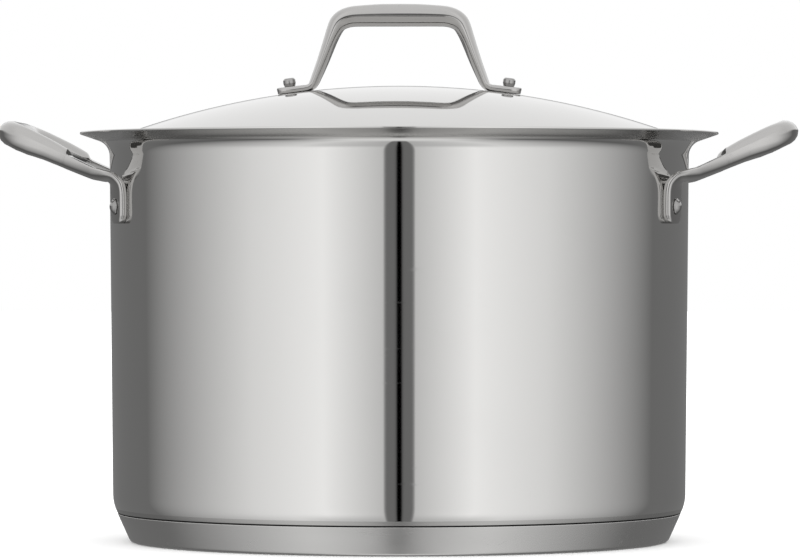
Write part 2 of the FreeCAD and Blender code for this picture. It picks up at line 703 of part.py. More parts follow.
def make_rack():
    """Welded wire rack: two hoops, a wire floor, uprights and dividers round seven jars."""
    nodes.append(ring("rack_base_ring", "dims.rack_radius", "dims.hoop_wire", BASE_HOOP))
    nodes.append(ring("rack_top_ring", "dims.rack_radius", "dims.hoop_wire", "dims.rack_height"))
    nodes.append(ring("rack_centre_ring", "dims.centre_ring_radius", "dims.thin_wire",
                      f"{DIVIDER} - 2 * dims.thin_wire"))

    floor_wires = []
    for step in range(-BASE_WIRES_EACH_SIDE, BASE_WIRES_EACH_SIDE + 1):
        y = f"({step} * dims.base_wire_step)"
        half = f"sqrt(dims.rack_radius * dims.rack_radius - {y} * {y})"
        floor_wires.append(rod(f"floor_wire_{step + BASE_WIRES_EACH_SIDE}",
                               (f"-{half}", y, BASE_WIRE), X_AXIS, f"2 * {half}"))
    group("rack_floor_wires", floor_wires)

    uprights = []
    dividers = []
    upright_radius = "(dims.rack_radius - dims.hoop_wire - dims.thin_wire)"
    for place in range(JAR_PLACES):
        turn = place * 360 / JAR_PLACES
        between = turn + 180 / JAR_PLACES
        uprights.append(rod(
            f"upright_{place}",
            (f"{upright_radius} * cos({between})", f"{upright_radius} * sin({between})",
             f"{BASE_HOOP} - dims.hoop_wire"),
            Z_AXIS, f"dims.rack_height - {BASE_HOOP} + 2 * dims.hoop_wire"))
        direction = VECTOR(math.cos(math.radians(turn)), math.sin(math.radians(turn)), 0)
        dividers.append(rod(
            f"divider_{place}",
            (f"dims.centre_ring_radius * cos({turn})", f"dims.centre_ring_radius * sin({turn})",
             DIVIDER),
            direction, "dims.rack_radius - dims.centre_ring_radius"))
    group("rack_uprights", uprights)
    group("rack_dividers", dividers)

    feet = []
    for place in range(FOOT_COUNT):
        turn = FOOT_START + place * 360 / FOOT_COUNT
        foot = document.addObject("Part::Torus", f"foot_{place}")
        bind(foot, Radius1="dims.foot_loop", Radius2="dims.thin_wire")
        foot.Angle3 = 180
        radial = VECTOR(math.cos(math.radians(turn)), math.sin(math.radians(turn)), 0)
        upside_down = FreeCAD.Rotation(X_AXIS, -90)
        facing = FreeCAD.Rotation(Z_AXIS, turn - 90)
        foot.Placement = FreeCAD.Placement(radial * size("dims.rack_radius"),
                                           facing.multiply(upside_down))
        foot.setExpression(".Placement.Base.z", f"{BASE_HOOP} - dims.hoop_wire")
        feet.append(foot)
    group("rack_feet", feet)


def make_rack_handle(name, turn):
    """Folding wire handle on the -X side, lying flat, with its two pivot eyes."""
    flip = FreeCAD.Rotation(Z_AXIS, turn)
    eyes = []
    for end in (-1, 1):
        eye = document.addObject("Part::Torus", f"{name}_eye_{end + 1}")
        bind(eye, Radius1="dims.eye_hole + dims.eye_wire", Radius2="dims.eye_wire")
        place = VECTOR(-size(PIVOT_X), end * size("dims.eye_y"), size(PIVOT_HEIGHT))
        eye.Placement = FreeCAD.Placement(flip.multVec(place), FreeCAD.Rotation(X_AXIS, 90))
        eyes.append(eye)
    group(f"{name.replace('_handle', '')}_pivot_eyes", eyes)

    body = new_body(name)
    path = new_sketch(body, f"{name}_path", "XY_Plane", ("0", "0", PIVOT_HEIGHT))
    pin_x = f"(-{PIVOT_X})"
    end_x = f"({pin_x} + dims.bail_length)"
    leg = "dims.bail_leg_y"
    turn_in = "dims.bail_pin_bend"
    turn_out = "dims.bail_corner"
    side_run = [
        (pin_x, "dims.bail_pin_end"),
        (pin_x, f"{leg} + {turn_in}"),
        (f"{pin_x} + {turn_in}", leg),
        (f"{end_x} - {turn_out}", leg),
        (end_x, f"{leg} - {turn_out}"),
    ]
    other_run = [(x, f"-({y})") for x, y in reversed(side_run)]
    outline(path, side_run + other_run, closed=False,
            arcs={1: (turn_in, 1), 3: (turn_out, -1), 5: (turn_out, -1), 7: (turn_in, 1)})
    section = body.newObject("Sketcher::SketchObject", f"{name}_section")
    section.AttachmentSupport = [(plane_of(body, "XZ_Plane"), "")]
    section.MapMode = "FlatFace"
    section.setExpression(".AttachmentOffset.Base.x", pin_x)
    section.setExpression(".AttachmentOffset.Base.y", PIVOT_HEIGHT)
    section.setExpression(".AttachmentOffset.Base.z", "-dims.bail_pin_end")
    circle = Part.Circle(VECTOR(0, 0, 0), Z_AXIS, size("dims.thin_wire"))
    geometry = section.addGeometry(circle)
    section.addConstraint(Sketcher.Constraint("Coincident", geometry, 3, -1, 1))
    value = FreeCAD.Units.Quantity(size("dims.thin_wire"), FreeCAD.Units.Length)
    index = section.addConstraint(Sketcher.Constraint("Radius", geometry, value))
    section.setExpression(f"Constraints[{index}]", "dims.thin_wire")
    wire = body.newObject("PartDesign::AdditivePipe", f"{name}_wire")
    wire.Profile = section
    runs = len(side_run) + len(other_run) - 1
    wire.Spine = (path, [f"Edge{run + 1}" for run in range(runs)])
    document.recompute()
    body.Placement = FreeCAD.Placement(VECTOR(0, 0, 0), flip)


def check_and_write():
    """Stop on any failed object, then write every node to its own file."""
    document.recompute()
    for item in document.Objects:
        if "Invalid" in item.State or "Error" in item.State:
            raise RuntimeError(f"{item.Name} failed: {item.State}")
    os.makedirs("parts", exist_ok=True)
    for node in nodes:
        if node.Shape.isNull() or not node.Shape.isValid():
            raise RuntimeError(f"{node.Label} has no valid shape")
        node.Shape.exportStep(f"parts/{node.Label}.step")
        box = node.Shape.BoundBox
        print(f"{node.Label:28s} {len(node.Shape.Solids)} {node.Shape.Volume:10.0f} mm3"
              f"  z {box.ZMin:.1f} to {box.ZMax:.1f}  x {box.XMin:.1f} to {box.XMax:.1f}")


make_pot_shell()
make_base()
make_side_handle("right_handle", 0)
make_side_handle("left_handle", 180)
for rivet_name, rivet_angle in rivet_angles().items():
    make_rivet(rivet_name, rivet_angle)
make_lid_dome()
make_lid_handle()
for rivet_side, rivet_x, rivet_tilt in lid_rivet_places():
    make_lid_rivet(f"lid_handle_{rivet_side}_rivet", rivet_x, rivet_tilt)
make_rack()
make_rack_handle("rack_left_handle", 0)
make_rack_handle("rack_right_handle", 180)
check_and_write()
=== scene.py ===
import math

import bmesh
import bpy
from mathutils import Matrix, Vector


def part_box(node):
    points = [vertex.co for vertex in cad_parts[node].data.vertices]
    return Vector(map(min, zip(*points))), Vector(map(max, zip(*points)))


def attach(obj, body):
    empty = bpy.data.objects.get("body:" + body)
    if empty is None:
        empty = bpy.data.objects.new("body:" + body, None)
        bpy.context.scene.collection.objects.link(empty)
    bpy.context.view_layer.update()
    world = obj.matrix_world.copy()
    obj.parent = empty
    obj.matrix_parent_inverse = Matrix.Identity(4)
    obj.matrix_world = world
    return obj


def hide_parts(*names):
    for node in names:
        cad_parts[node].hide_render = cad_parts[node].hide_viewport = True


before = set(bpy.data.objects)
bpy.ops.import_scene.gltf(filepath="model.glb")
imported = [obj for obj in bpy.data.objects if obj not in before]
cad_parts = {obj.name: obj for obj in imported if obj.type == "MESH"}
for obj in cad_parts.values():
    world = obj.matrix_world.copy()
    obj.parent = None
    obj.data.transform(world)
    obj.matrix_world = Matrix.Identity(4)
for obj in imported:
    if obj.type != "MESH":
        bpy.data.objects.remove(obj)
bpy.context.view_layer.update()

MM = 0.001
UP = Vector((0, 0, 1))
TURN_STEPS = 288                    # facets round a turned sheet
BEND_STEP = math.radians(7)         # facets along a bend


# ---------------------------------------------------------------- sizes of the object, in metres

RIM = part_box("pot_shell")[1]
RIM_RADIUS = RIM.x
RIM_HEIGHT = RIM.z
LIP_SLOPE = math.radians(19)
POT_SHEET = 1.2 * MM
LIP_BEND = 8.5 * MM
BODY_RADIUS = 153.45 * MM           # outside of the wall where it meets the lip
SHOULDER_HEIGHT = 20 * MM
SHOULDER_BEND = 21 * MM
BOTTOM_BEND = 10 * MM

JOINT_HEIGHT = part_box("base_cap")[1].z
JOINT_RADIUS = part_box("base_cap")[1].x
BASE_SLOPE = math.radians(24.5)     # side of the base, from the vertical
CAP_SHEET = 0.8 * MM
CAP_BEND = 2.5 * MM
CORE_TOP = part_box("base_core")[1].z
SHOULDER_RADIUS = JOINT_RADIUS + (SHOULDER_HEIGHT - JOINT_HEIGHT) * math.tan(BASE_SLOPE)
POT_FLOOR = CORE_TOP + POT_SHEET

DOME_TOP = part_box("lid_dome")[1].z
FLANGE_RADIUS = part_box("lid_dome")[1].x
LID_SHEET = 0.8 * MM
DOME_BEND = 428 * MM                # spherical radius of the dome
DOME_EDGE = 146.5 * MM
VALLEY_INNER = 147.3 * MM
VALLEY_OUTER = 150.2 * MM
VALLEY_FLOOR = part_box("lid_dome")[0].z + LID_SHEET
SKIRT_RADIUS = 150.6 * MM
SEAT_GAP = 0.3 * MM


# ---------------------------------------------------------------- mesh helpers

def turn(vector, angle):
    """A vector turned about the vertical axis."""
    return Matrix.Rotation(angle, 3, "Z") @ Vector(vector)


def rounded(corners, run_steps=8):
    """Points along an outline of (x, z, radius) corners, each bend an arc, each run stepped.

    Runs are stepped closer near their ends, so that a smooth shade stays true beside a bend.
    """
    places = [Vector((x, 0, z)) for x, z, _radius in corners]
    arcs = []
    for index, (place, corner) in enumerate(zip(places, corners)):
        radius = corner[2]
        if radius == 0 or index in (0, len(places) - 1):
            arcs.append([place])
            continue
        back = (places[index - 1] - place).normalized()
        ahead = (places[index + 1] - place).normalized()
        bend = math.pi - back.angle(ahead)
        reach = radius * math.tan(bend / 2)
        centre = place + (back + ahead).normalized() * radius / math.cos(bend / 2)
        start = place + back * reach - centre
        axis = start.cross(place + ahead * reach - centre).normalized()
        steps = max(3, math.ceil(bend / BEND_STEP))
        arcs.append([centre + Matrix.Rotation(bend * step / steps, 3, axis) @ start
                     for step in range(steps + 1)])
    points = list(arcs[0])
    for arc in arcs[1:]:
        start, end = points[-1], arc[0]
        for step in range(1, run_steps):
            eased = 0.5 - 0.5 * math.cos(math.pi * step / run_steps)
            points.append(start.lerp(end, eased))
        points.extend(arc)
    return points


def sphere_run(radius, top, low, high, steps=26):
    """Points on a dome from one radius to another, as seen in section."""
    run = []
    for step in range(steps + 1):
        x = low + (high - low) * math.sin(math.pi / 2 * step / steps)
        run.append(Vector((x, 0, top - radius + math.sqrt(radius ** 2 - x ** 2))))
    return run


def spun(name, points, steps=TURN_STEPS):
    """A turned solid: the outline starts and ends on the axis, or closes on itself."""
    bm = bmesh.new()
    verts = [bm.verts.new(point) for point in points]
    edges = [bm.edges.new(pair) for pair in zip(verts, verts[1:])]
    if points[0].x > 0:
        edges.append(bm.edges.new((verts[-1], verts[0])))
    bmesh.ops.spin(bm, geom=verts + edges, cent=(0, 0, 0), axis=UP, dvec=(0, 0, 0),
                   angle=2 * math.pi, steps=steps, use_merge=True, use_normal_flip=False,
                   use_duplicate=False)
    return finished(name, bm)


def finished(name, bm):
    """Merge, turn the faces outwards, smooth the shade and make the object."""
    bmesh.ops.remove_doubles(bm, verts=bm.verts, dist=1e-6)
    bmesh.ops.recalc_face_normals(bm, faces=bm.faces)
    for face in bm.faces:
        face.smooth = True
    mesh = bpy.data.meshes.new(name)
    bm.to_mesh(mesh)
    bm.free()
    piece = bpy.data.objects.new(name, mesh)
    bpy.context.scene.collection.objects.link(piece)
    return piece


def placed(piece, body, node, material):
    """Put a finished piece on its body, in place of its plain solid."""
    piece.data.materials.append(material)
    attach(piece, body)
    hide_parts(node)
    return piece


def bent_path(corners, spacing):
    """Stations along a bar: corners are (place, bend radius, outward direction).

    Returns (place, direction, outward, distance) for each station.
    """
    runs = []
    for index, (place, radius, outward) in enumerate(corners):
        if index in (0, len(corners) - 1) or radius == 0:
            runs.append([(place, outward)])
            continue
        back = (corners[index - 1][0] - place).normalized()
        ahead = (corners[index + 1][0] - place).normalized()
        bend = math.pi - back.angle(ahead)
        reach = radius * math.tan(bend / 2)
        centre = place + (back + ahead).normalized() * radius / math.cos(bend / 2)
        start = place + back * reach - centre
        axis = start.cross(place + ahead * reach - centre).normalized()
        steps = max(3, math.ceil(bend / math.radians(12)))
        runs.append([(centre + Matrix.Rotation(bend * step / steps, 3, axis) @ start, outward)
                     for step in range(steps + 1)])
    marks = list(runs[0])
    for run in runs[1:]:
        start, end = marks[-1], run[0]
        steps = max(1, round((end[0] - start[0]).length / spacing))
        for step in range(1, steps):
            marks.append((start[0].lerp(end[0], step / steps),
                          start[1].lerp(end[1], step / steps)))
        marks.extend(run)
    stations = []
    distance = 0.0
    for index, (place, outward) in enumerate(marks):
        before = marks[max(index - 1, 0)][0]
        after = marks[min(index + 1, len(marks) - 1)][0]
        direction = (after - before).normalized()
        square = (outward - direction * outward.dot(direction)).normalized()
        if index:
            distance += (place - before).length
        stations.append((place, direction, square, distance))
    return stations


CROWN_POINTS = 9                    # points along each crowned face of a cast bar


def crown(half_width, rise):
    """Points of a round crown over a chord, from +half_width to -half_width."""
    half_angle = 2 * math.atan(rise / half_width)
    radius = half_width / math.sin(half_angle)
    points = []
    for step in range(CROWN_POINTS):
        angle = half_angle * (1 - 2 * step / (CROWN_POINTS - 1))
        points.append((radius * math.sin(angle), rise - radius + radius * math.cos(angle)))
    return points


def cast_section(half_width, outer_rise, band, inner_rise):
    """Section of a cast bar: two crowned faces that meet a flat band on each side."""
    outer = [(u, v + band / 2) for u, v in crown(half_width, outer_rise)]
    inner = [(-u, -v - band / 2) for u, v in crown(half_width, inner_rise)]
    return outer + inner


def loft(bm, stations, sections, close_end=True):
    """Skin a bar through sections at its stations; a section is (across, outward) points."""
    rings = []
    for (place, direction, outward, _value), section in zip(stations, sections):
        across = direction.cross(outward)
        ring = bmesh.ops.create_circle(bm, segments=len(section), radius=1)["verts"]
        ring.sort(key=lambda vert: math.atan2(vert.co.y, vert.co.x))
        for vert, (u, v) in zip(ring, section):
            vert.co = place + across * u + outward * v
        rings.append(ring)
    for low, high in zip(rings, rings[1:]):
        edges = [bm.edges.get(pair) for ring in (low, high)
                 for pair in zip(ring, ring[1:] + ring[:1])]
        bmesh.ops.bridge_loops(bm, edges=edges)
    bmesh.ops.contextual_create(bm, geom=rings[0])
    if close_end:
        bmesh.ops.contextual_create(bm, geom=rings[-1])


def round_wire(bm, corners, radius, sides=12, spacing=12 * MM):
    """A bent round wire with softly rounded ends."""
    stations = bent_path(corners, spacing)
    first, last = stations[0], stations[-1]
    soft = radius * 0.35
    start = (first[0] + first[1] * soft,) + first[1:]
    finish = (last[0] - last[1] * soft,) + last[1:]
    stations = [first, start] + stations[1:-1] + [finish, last]
    sections = []
    for index in range(len(stations)):
        size = radius - soft if index in (0, len(stations) - 1) else radius
        sections.append([(size * math.cos(2 * math.pi * side / sides),
                          size * math.sin(2 * math.pi * side / sides)) for side in range(sides)])
    loft(bm, stations, sections)


def weld_bead(bm, place, radius, squash=0.6):
    """A small flattened bead where two wires are welded."""
    shape = Matrix.Translation(place) @ Matrix.Diagonal((1, 1, squash, 1))
    bmesh.ops.create_uvsphere(bm, u_segments=12, v_segments=8, radius=radius, matrix=shape)


# ---------------------------------------------------------------- turned sheet parts

def lip_height(radius):
    """Upper face of the pot's lip at a radius."""
    return RIM_HEIGHT - (RIM_RADIUS - radius) * math.tan(LIP_SLOPE)


def dome_height(radius, bend=DOME_BEND):
    """Height of a spherical dome surface at a radius; the inner surface has a smaller bend."""
    return DOME_TOP - DOME_BEND + math.sqrt(bend ** 2 - radius ** 2)


LIP_UNDER = RIM_HEIGHT - POT_SHEET / math.cos(LIP_SLOPE)
WALL_TOP = LIP_UNDER - (RIM_RADIUS - BODY_RADIUS) * math.tan(LIP_SLOPE)


def wall_radius(height):
    """Outside radius of the pot's wall at a height."""
    draft = (BODY_RADIUS - SHOULDER_RADIUS) / (WALL_TOP - SHOULDER_HEIGHT)
    return SHOULDER_RADIUS + (height - SHOULDER_HEIGHT) * draft


def make_pot_shell(material, satin, inside, shadow_line):
    """One drawn sheet: floor, slanted foot, drafted wall and flared lip."""
    cap_face = JOINT_RADIUS - CAP_SHEET / math.cos(BASE_SLOPE)
    slant = math.tan(BASE_SLOPE)
    slant_sheet = POT_SHEET / math.cos(BASE_SLOPE)
    step_height = JOINT_HEIGHT + 0.4 * MM
    wall_inside = BODY_RADIUS - POT_SHEET
    points = rounded([
        (0, CORE_TOP, 0),
        (cap_face - (JOINT_HEIGHT - CORE_TOP) * slant, CORE_TOP, BOTTOM_BEND),
        (cap_face, JOINT_HEIGHT, 0.3 * MM),
        (JOINT_RADIUS, step_height, 0.3 * MM),
        (SHOULDER_RADIUS, SHOULDER_HEIGHT, SHOULDER_BEND),
        (BODY_RADIUS, WALL_TOP, LIP_BEND),
        (RIM_RADIUS, LIP_UNDER, 0.5 * MM),
        (RIM_RADIUS, RIM_HEIGHT, 0.5 * MM),
        (wall_inside, lip_height(wall_inside), LIP_BEND + POT_SHEET),
        (SHOULDER_RADIUS - POT_SHEET,
         SHOULDER_HEIGHT + POT_SHEET * math.tan(BASE_SLOPE / 2), SHOULDER_BEND),
        (JOINT_RADIUS - slant_sheet, step_height, 1 * MM),
        (cap_face - slant_sheet, JOINT_HEIGHT, 1 * MM),
        (cap_face - (JOINT_HEIGHT - POT_FLOOR) * slant - slant_sheet, POT_FLOOR,
         BOTTOM_BEND - POT_SHEET),
        (0, POT_FLOOR, 0),
    ])
    piece = placed(spun("pot_shell_polished", points), "pot", "pot_shell",
                   material)
    # Painted shade: the lip's underside and the slanted foot take a satin steel whose darker
    # colour stands in for the shade under them.
    refinish(piece, satin, under_lip_or_foot)
    refinish(piece, inside, inside_of_pot)
    # Painted shadow: the joint step under the foot gets a near-black colour where shade falls in
    # the joint.
    refinish(piece, shadow_line, in_joint_step)
    return piece


def in_joint_step(centre, normal):
    """The step under the foot, coloured near black as a painted shadow line in the joint."""
    radius = math.hypot(centre.x, centre.y)
    return (radius > JOINT_RADIUS - 2 * MM and normal.z < -0.2
            and JOINT_HEIGHT - 0.6 * MM < centre.z < JOINT_HEIGHT + 0.75 * MM)


def under_lip_or_foot(centre, normal):
    """The lip's underside and the slanted foot, which are left satin, with a darker colour as
    painted shade.
    """
    radius = math.hypot(centre.x, centre.y)
    under_lip = radius > BODY_RADIUS + 4 * MM and normal.z < -0.7
    foot = centre.z < 16.8 * MM and radius > 147 * MM and normal.z < -0.2
    return under_lip or foot


def inside_of_pot(centre, normal):
    """The wall and floor that face the water."""
    inward = normal.x * centre.x + normal.y * centre.y < -0.3 * math.hypot(centre.x, centre.y)
    below_lip = centre.z < WALL_TOP - 4 * MM
    floor = abs(centre.z - POT_FLOOR) < 6 * MM and normal.z > 0.5
    return (inward and below_lip) or floor


def refinish(piece, material, chosen):
    """Give another finish to the faces picked by their centre and normal."""
    piece.data.materials.append(material)
    for face in piece.data.polygons:
        if chosen(face.center, face.normal):
            face.material_index = len(piece.data.materials) - 1


def make_base_cap(material):
    """Steel cap pressed over the aluminium core, with its edge turned up at the joint."""
    cap_face = JOINT_RADIUS - CAP_SHEET / math.cos(BASE_SLOPE)
    slant = math.tan(BASE_SLOPE)
    points = rounded([
        (0, 0, 0),
        (JOINT_RADIUS - JOINT_HEIGHT * slant, 0, CAP_BEND),
        (JOINT_RADIUS, JOINT_HEIGHT, 0.3 * MM),
        (cap_face, JOINT_HEIGHT, 0.2 * MM),
        (cap_face - (JOINT_HEIGHT - CAP_SHEET) * slant, CAP_SHEET, CAP_BEND - CAP_SHEET),
        (0, CAP_SHEET, 0),
    ])
    return placed(spun("base_cap_satin", points), "pot", "base_cap", material)


def make_lid_dome(material, shadow_line):
    """Pressed dome with a rounded valley that drops into the pot and a seating flange."""
    seat = SEAT_GAP / math.cos(LIP_SLOPE)
    cover = (SEAT_GAP + LID_SHEET) / math.cos(LIP_SLOPE)
    inner_bend = DOME_BEND - LID_SHEET
    inner_edge = DOME_EDGE - LID_SHEET
    skirt_outside = SKIRT_RADIUS + LID_SHEET
    shoulder_start = DOME_EDGE - 4 * MM
    points = sphere_run(DOME_BEND, DOME_TOP, 0, shoulder_start)[:-1]
    points += rounded([
        (shoulder_start, dome_height(shoulder_start), 0),
        (DOME_EDGE, dome_height(DOME_EDGE), 2 * LID_SHEET),
        (VALLEY_INNER, VALLEY_FLOOR, LID_SHEET),
        (VALLEY_OUTER, VALLEY_FLOOR, LID_SHEET),
        (SKIRT_RADIUS, lip_height(SKIRT_RADIUS) + cover, 3 * LID_SHEET),
        (FLANGE_RADIUS, lip_height(FLANGE_RADIUS) + cover, 0.3 * MM),
        (FLANGE_RADIUS, lip_height(FLANGE_RADIUS) + seat, 0.3 * MM),
        (skirt_outside, lip_height(skirt_outside) + seat, 2 * LID_SHEET),
        (VALLEY_OUTER + LID_SHEET, VALLEY_FLOOR - LID_SHEET, 2 * LID_SHEET),
        (VALLEY_INNER - LID_SHEET, VALLEY_FLOOR - LID_SHEET, 2 * LID_SHEET),
        (inner_edge, dome_height(inner_edge, inner_bend), LID_SHEET),
        (inner_edge - 4 * MM, dome_height(inner_edge - 4 * MM, inner_bend), 0),
    ], run_steps=4)
    points += sphere_run(inner_bend, DOME_TOP - LID_SHEET, 0, inner_edge - 4 * MM)[-2::-1]
    piece = placed(spun("lid_dome_polished", points), "lid", "lid_dome",
                   material)
    # Painted shadow: the flange's edge gets a near-black colour where shade falls in the gap over
    # the lip.
    refinish(piece, shadow_line, at_flange_edge)
    return piece


def at_flange_edge(centre, normal):
    """The cut edge of the flange over the pot's lip, coloured near black as a painted shadow in
    the gap.
    """
    return math.hypot(centre.x, centre.y) > FLANGE_RADIUS - 0.25 * MM and normal.z < 0.8


# ---------------------------------------------------------------- cast handles and rivets

def key_run(keys, steps):
    """Stations through key rows of (place, outward, values), eased on a smooth curve.

    Returns (place, direction, outward, values) rows, steps of them to each gap.
    """
    places = [Vector(key[0]) * MM for key in keys]
    marks = []
    for index in range(len(keys) - 1):
        p1, p2 = places[index], places[index + 1]
        p0 = places[index - 1] if index else p1 * 2 - p2
        p3 = places[index + 2] if index + 2 < len(keys) else p2 * 2 - p1
        for step in range(steps):
            t = step / steps
            place = 0.5 * (2 * p1 + (p2 - p0) * t + (2 * p0 - 5 * p1 + 4 * p2 - p3) * t ** 2
                           + (3 * p1 - p0 - 3 * p2 + p3) * t ** 3)
            outward = Vector(keys[index][1]).lerp(Vector(keys[index + 1][1]), t)
            values = [a + (b - a) * t for a, b in zip(keys[index][2], keys[index + 1][2])]
            marks.append((place, outward, values))
    marks.append((places[-1], Vector(keys[-1][1]), keys[-1][2]))
    stations = []
    for index, (place, outward, values) in enumerate(marks):
        before = marks[max(index - 1, 0)][0]
        after = marks[min(index + 1, len(marks) - 1)][0]
        direction = (after - before).normalized()
        square = (outward - direction * outward.dot(direction)).normalized()
        stations.append((place, direction, square, [value * MM for value in values]))
    return stations


def cast_half(bm, keys, mirror_axis, hug_radius=1.0):
    """Skin half a cast bar from its tab to its middle, and mirror it for the other half.

    Each key's values are half width, outer rise, band and inner rise, and how far the
    bar hugs a wall of hug_radius, all in millimetres.
    """
    stations = key_run(keys, 4)
    sections = []
    for _place, _direction, _outward, values in stations:
        half_width, outer_rise, band, inner_rise, hug = values
        lean = hug / MM / (2 * hug_radius)
        sections.append([(u, v + lean * u ** 2) for u, v in
                         cast_section(half_width, outer_rise, band, inner_rise)])
    loft(bm, stations, sections, close_end=False)
    bmesh.ops.mirror(bm, geom=bm.verts[:] + bm.edges[:] + bm.faces[:], axis=mirror_axis,
                     merge_dist=1e-5, matrix=Matrix.Identity(4))


TAB_LINE = math.radians(21.3)       # rivet line each side of a side handle's middle
RIVET_HEIGHT = 176.7 * MM
TAB_THICKNESS = 3.6 * MM


def tab_key(height, half_width, band, rise=0.25, inner=0.25):
    """A station on the front tab of the right handle, at a height in millimetres."""
    radius = wall_radius(height * MM) / MM + TAB_THICKNESS / MM / 2 + 0.05
    radial = Vector((math.cos(TAB_LINE), -math.sin(TAB_LINE), 0))
    place = radial * radius + UP * height
    return (place, -radial, (half_width, rise, band, inner, 1))


LEG_UP = (-0.43, 0, 0.903)
GRIP_UP = (-0.156, 0, 0.988)


def make_side_handle(name, node, turned, material):
    """Cast loop: flat riveted tabs, slim legs and a full, crowned grip."""
    keys = [
        tab_key(167.75, 3.2, 2.2),
        tab_key(167.95, 4.6, 3.0),
        tab_key(168.6, 6.2, 3.1),
        tab_key(169.8, 7.8, 3.1),
        tab_key(171.6, 9.0, 3.1),
        tab_key(174.0, 9.4, 3.1),
        tab_key(184.0, 9.4, 3.1),
        ((145.1, -56.6, 188.2), (-0.92, 0.34, 0.12), (9.4, 0.25, 2.9, 0.6, 0.9)),
        ((147.4, -57.0, 191.8), (-0.76, 0.22, 0.55), (9.2, 0.3, 2.0, 2.0, 0.5)),
        ((150.9, -56.9, 193.9), (-0.56, 0.08, 0.80), (9.0, 0.35, 1.2, 3.9, 0.2)),
        ((155.6, -55.9, 195.9), LEG_UP, (8.6, 0.4, 0.9, 5.1, 0)),
        ((161.5, -54.3, 198.6), LEG_UP, (8.0, 0.45, 0.8, 5.6, 0)),
        ((168.8, -52.4, 202.0), LEG_UP, (7.4, 0.5, 0.8, 6.1, 0)),
        ((170.2, -52.0, 202.7), LEG_UP, (7.3, 0.9, 0.7, 6.2, 0)),
        ((171.6, -51.6, 203.4), LEG_UP, (7.2, 2.5, 0.5, 6.4, 0)),
        ((173.4, -51.1, 204.2), LEG_UP, (7.1, 3.2, 0.4, 6.5, 0)),
        ((181.0, -49.1, 207.8), LEG_UP, (7.0, 3.9, 0.35, 7.1, 0)),
        ((189.5, -46.8, 211.6), LEG_UP, (7.0, 4.3, 0.35, 8.2, 0)),
        ((196.2, -44.0, 214.2), (-0.38, 0, 0.92), (7.1, 4.8, 0.35, 8.2, 0)),
        ((200.9, -38.8, 215.3), (-0.27, 0, 0.96), (7.2, 5.6, 0.35, 7.2, 0)),
        ((202.8, -31.5, 215.6), GRIP_UP, (7.25, 6.1, 0.35, 6.4, 0)),
        ((203.3, -17.0, 215.7), GRIP_UP, (7.25, 6.1, 0.35, 6.3, 0)),
        ((203.5, 0, 215.7), GRIP_UP, (7.25, 6.1, 0.35, 6.3, 0)),
    ]
    bm = bmesh.new()
    cast_half(bm, keys, "Y", hug_radius=wall_radius(RIVET_HEIGHT))
    bmesh.ops.rotate(bm, verts=bm.verts, cent=(0, 0, 0),
                     matrix=Matrix.Rotation(turned, 3, "Z"))
    piece = finished(name, bm)
    weight_shade(piece)
    return placed(piece, "pot", node, material)


def weight_shade(piece):
    """Let broad faces keep their own shade, so that narrow bands read as rounded edges."""
    shade = piece.modifiers.new("shade", "WEIGHTED_NORMAL")
    shade.weight = 50
    shade.mode = "FACE_AREA"


def make_lid_handle(material):
    """Cast trapezoid loop: crowned outside and in, with a narrow flat band on each side."""
    def level(x, z, half_width, outer, band, inner, outward):
        """One station of the handle, in the plane through its middle."""
        return ((x, 0, z), outward, (half_width, outer, band, inner, 0))

    tab_up = (0.115, 0, 0.993)
    leg_out = (0.943, 0, 0.332)
    keys = [
        level(64.6, 238.15, 2.2, 0.2, 2.0, 0.2, tab_up),
        level(64.35, 238.2, 3.6, 0.3, 2.8, 0.3, tab_up),
        level(63.6, 238.25, 5.0, 0.35, 2.9, 0.35, tab_up),
        level(62.2, 238.4, 6.2, 0.35, 2.9, 0.35, tab_up),
        level(60.0, 238.65, 6.9, 0.35, 2.9, 0.35, tab_up),
        level(57.5, 238.95, 7.0, 0.35, 2.9, 0.35, tab_up),
        level(51.0, 239.75, 7.0, 0.4, 2.7, 0.4, tab_up),
        level(48.6, 240.1, 7.0, 0.5, 2.5, 0.6, (0.3, 0, 0.95)),
        level(46.6, 241.1, 7.0, 0.9, 2.1, 1.4, (0.72, 0, 0.69)),
        level(45.5, 243.0, 7.0, 1.3, 1.6, 2.2, (0.91, 0, 0.41)),
        level(44.3, 246.0, 7.0, 1.6, 1.3, 2.6, leg_out),
        level(41.1, 254.5, 7.0, 1.9, 1.2, 3.3, leg_out),
        level(37.3, 265.0, 7.0, 2.3, 1.4, 3.7, leg_out),
        level(35.1, 271.0, 7.0, 2.6, 1.6, 4.3, (0.94, 0, 0.34)),
        level(33.1, 274.9, 7.0, 2.9, 1.9, 5.0, (0.82, 0, 0.57)),
        level(30.0, 277.4, 7.0, 3.1, 2.1, 5.3, (0.62, 0, 0.78)),
        level(25.8, 278.6, 7.0, 3.4, 2.3, 5.2, (0.26, 0, 0.97)),
        level(20.5, 279.0, 7.0, 3.6, 2.4, 5.3, (0.095, 0, 0.995)),
        level(10.0, 279.25, 7.0, 4.0, 2.5, 5.5, (0.046, 0, 0.999)),
        level(0.0, 279.3, 7.0, 4.05, 2.5, 5.55, (0, 0, 1)),
    ]
    bm = bmesh.new()
    cast_half(bm, keys, "X")
    piece = finished("lid_handle_cast", bm)
    weight_shade(piece)
    return placed(piece, "lid", "lid_handle", material)


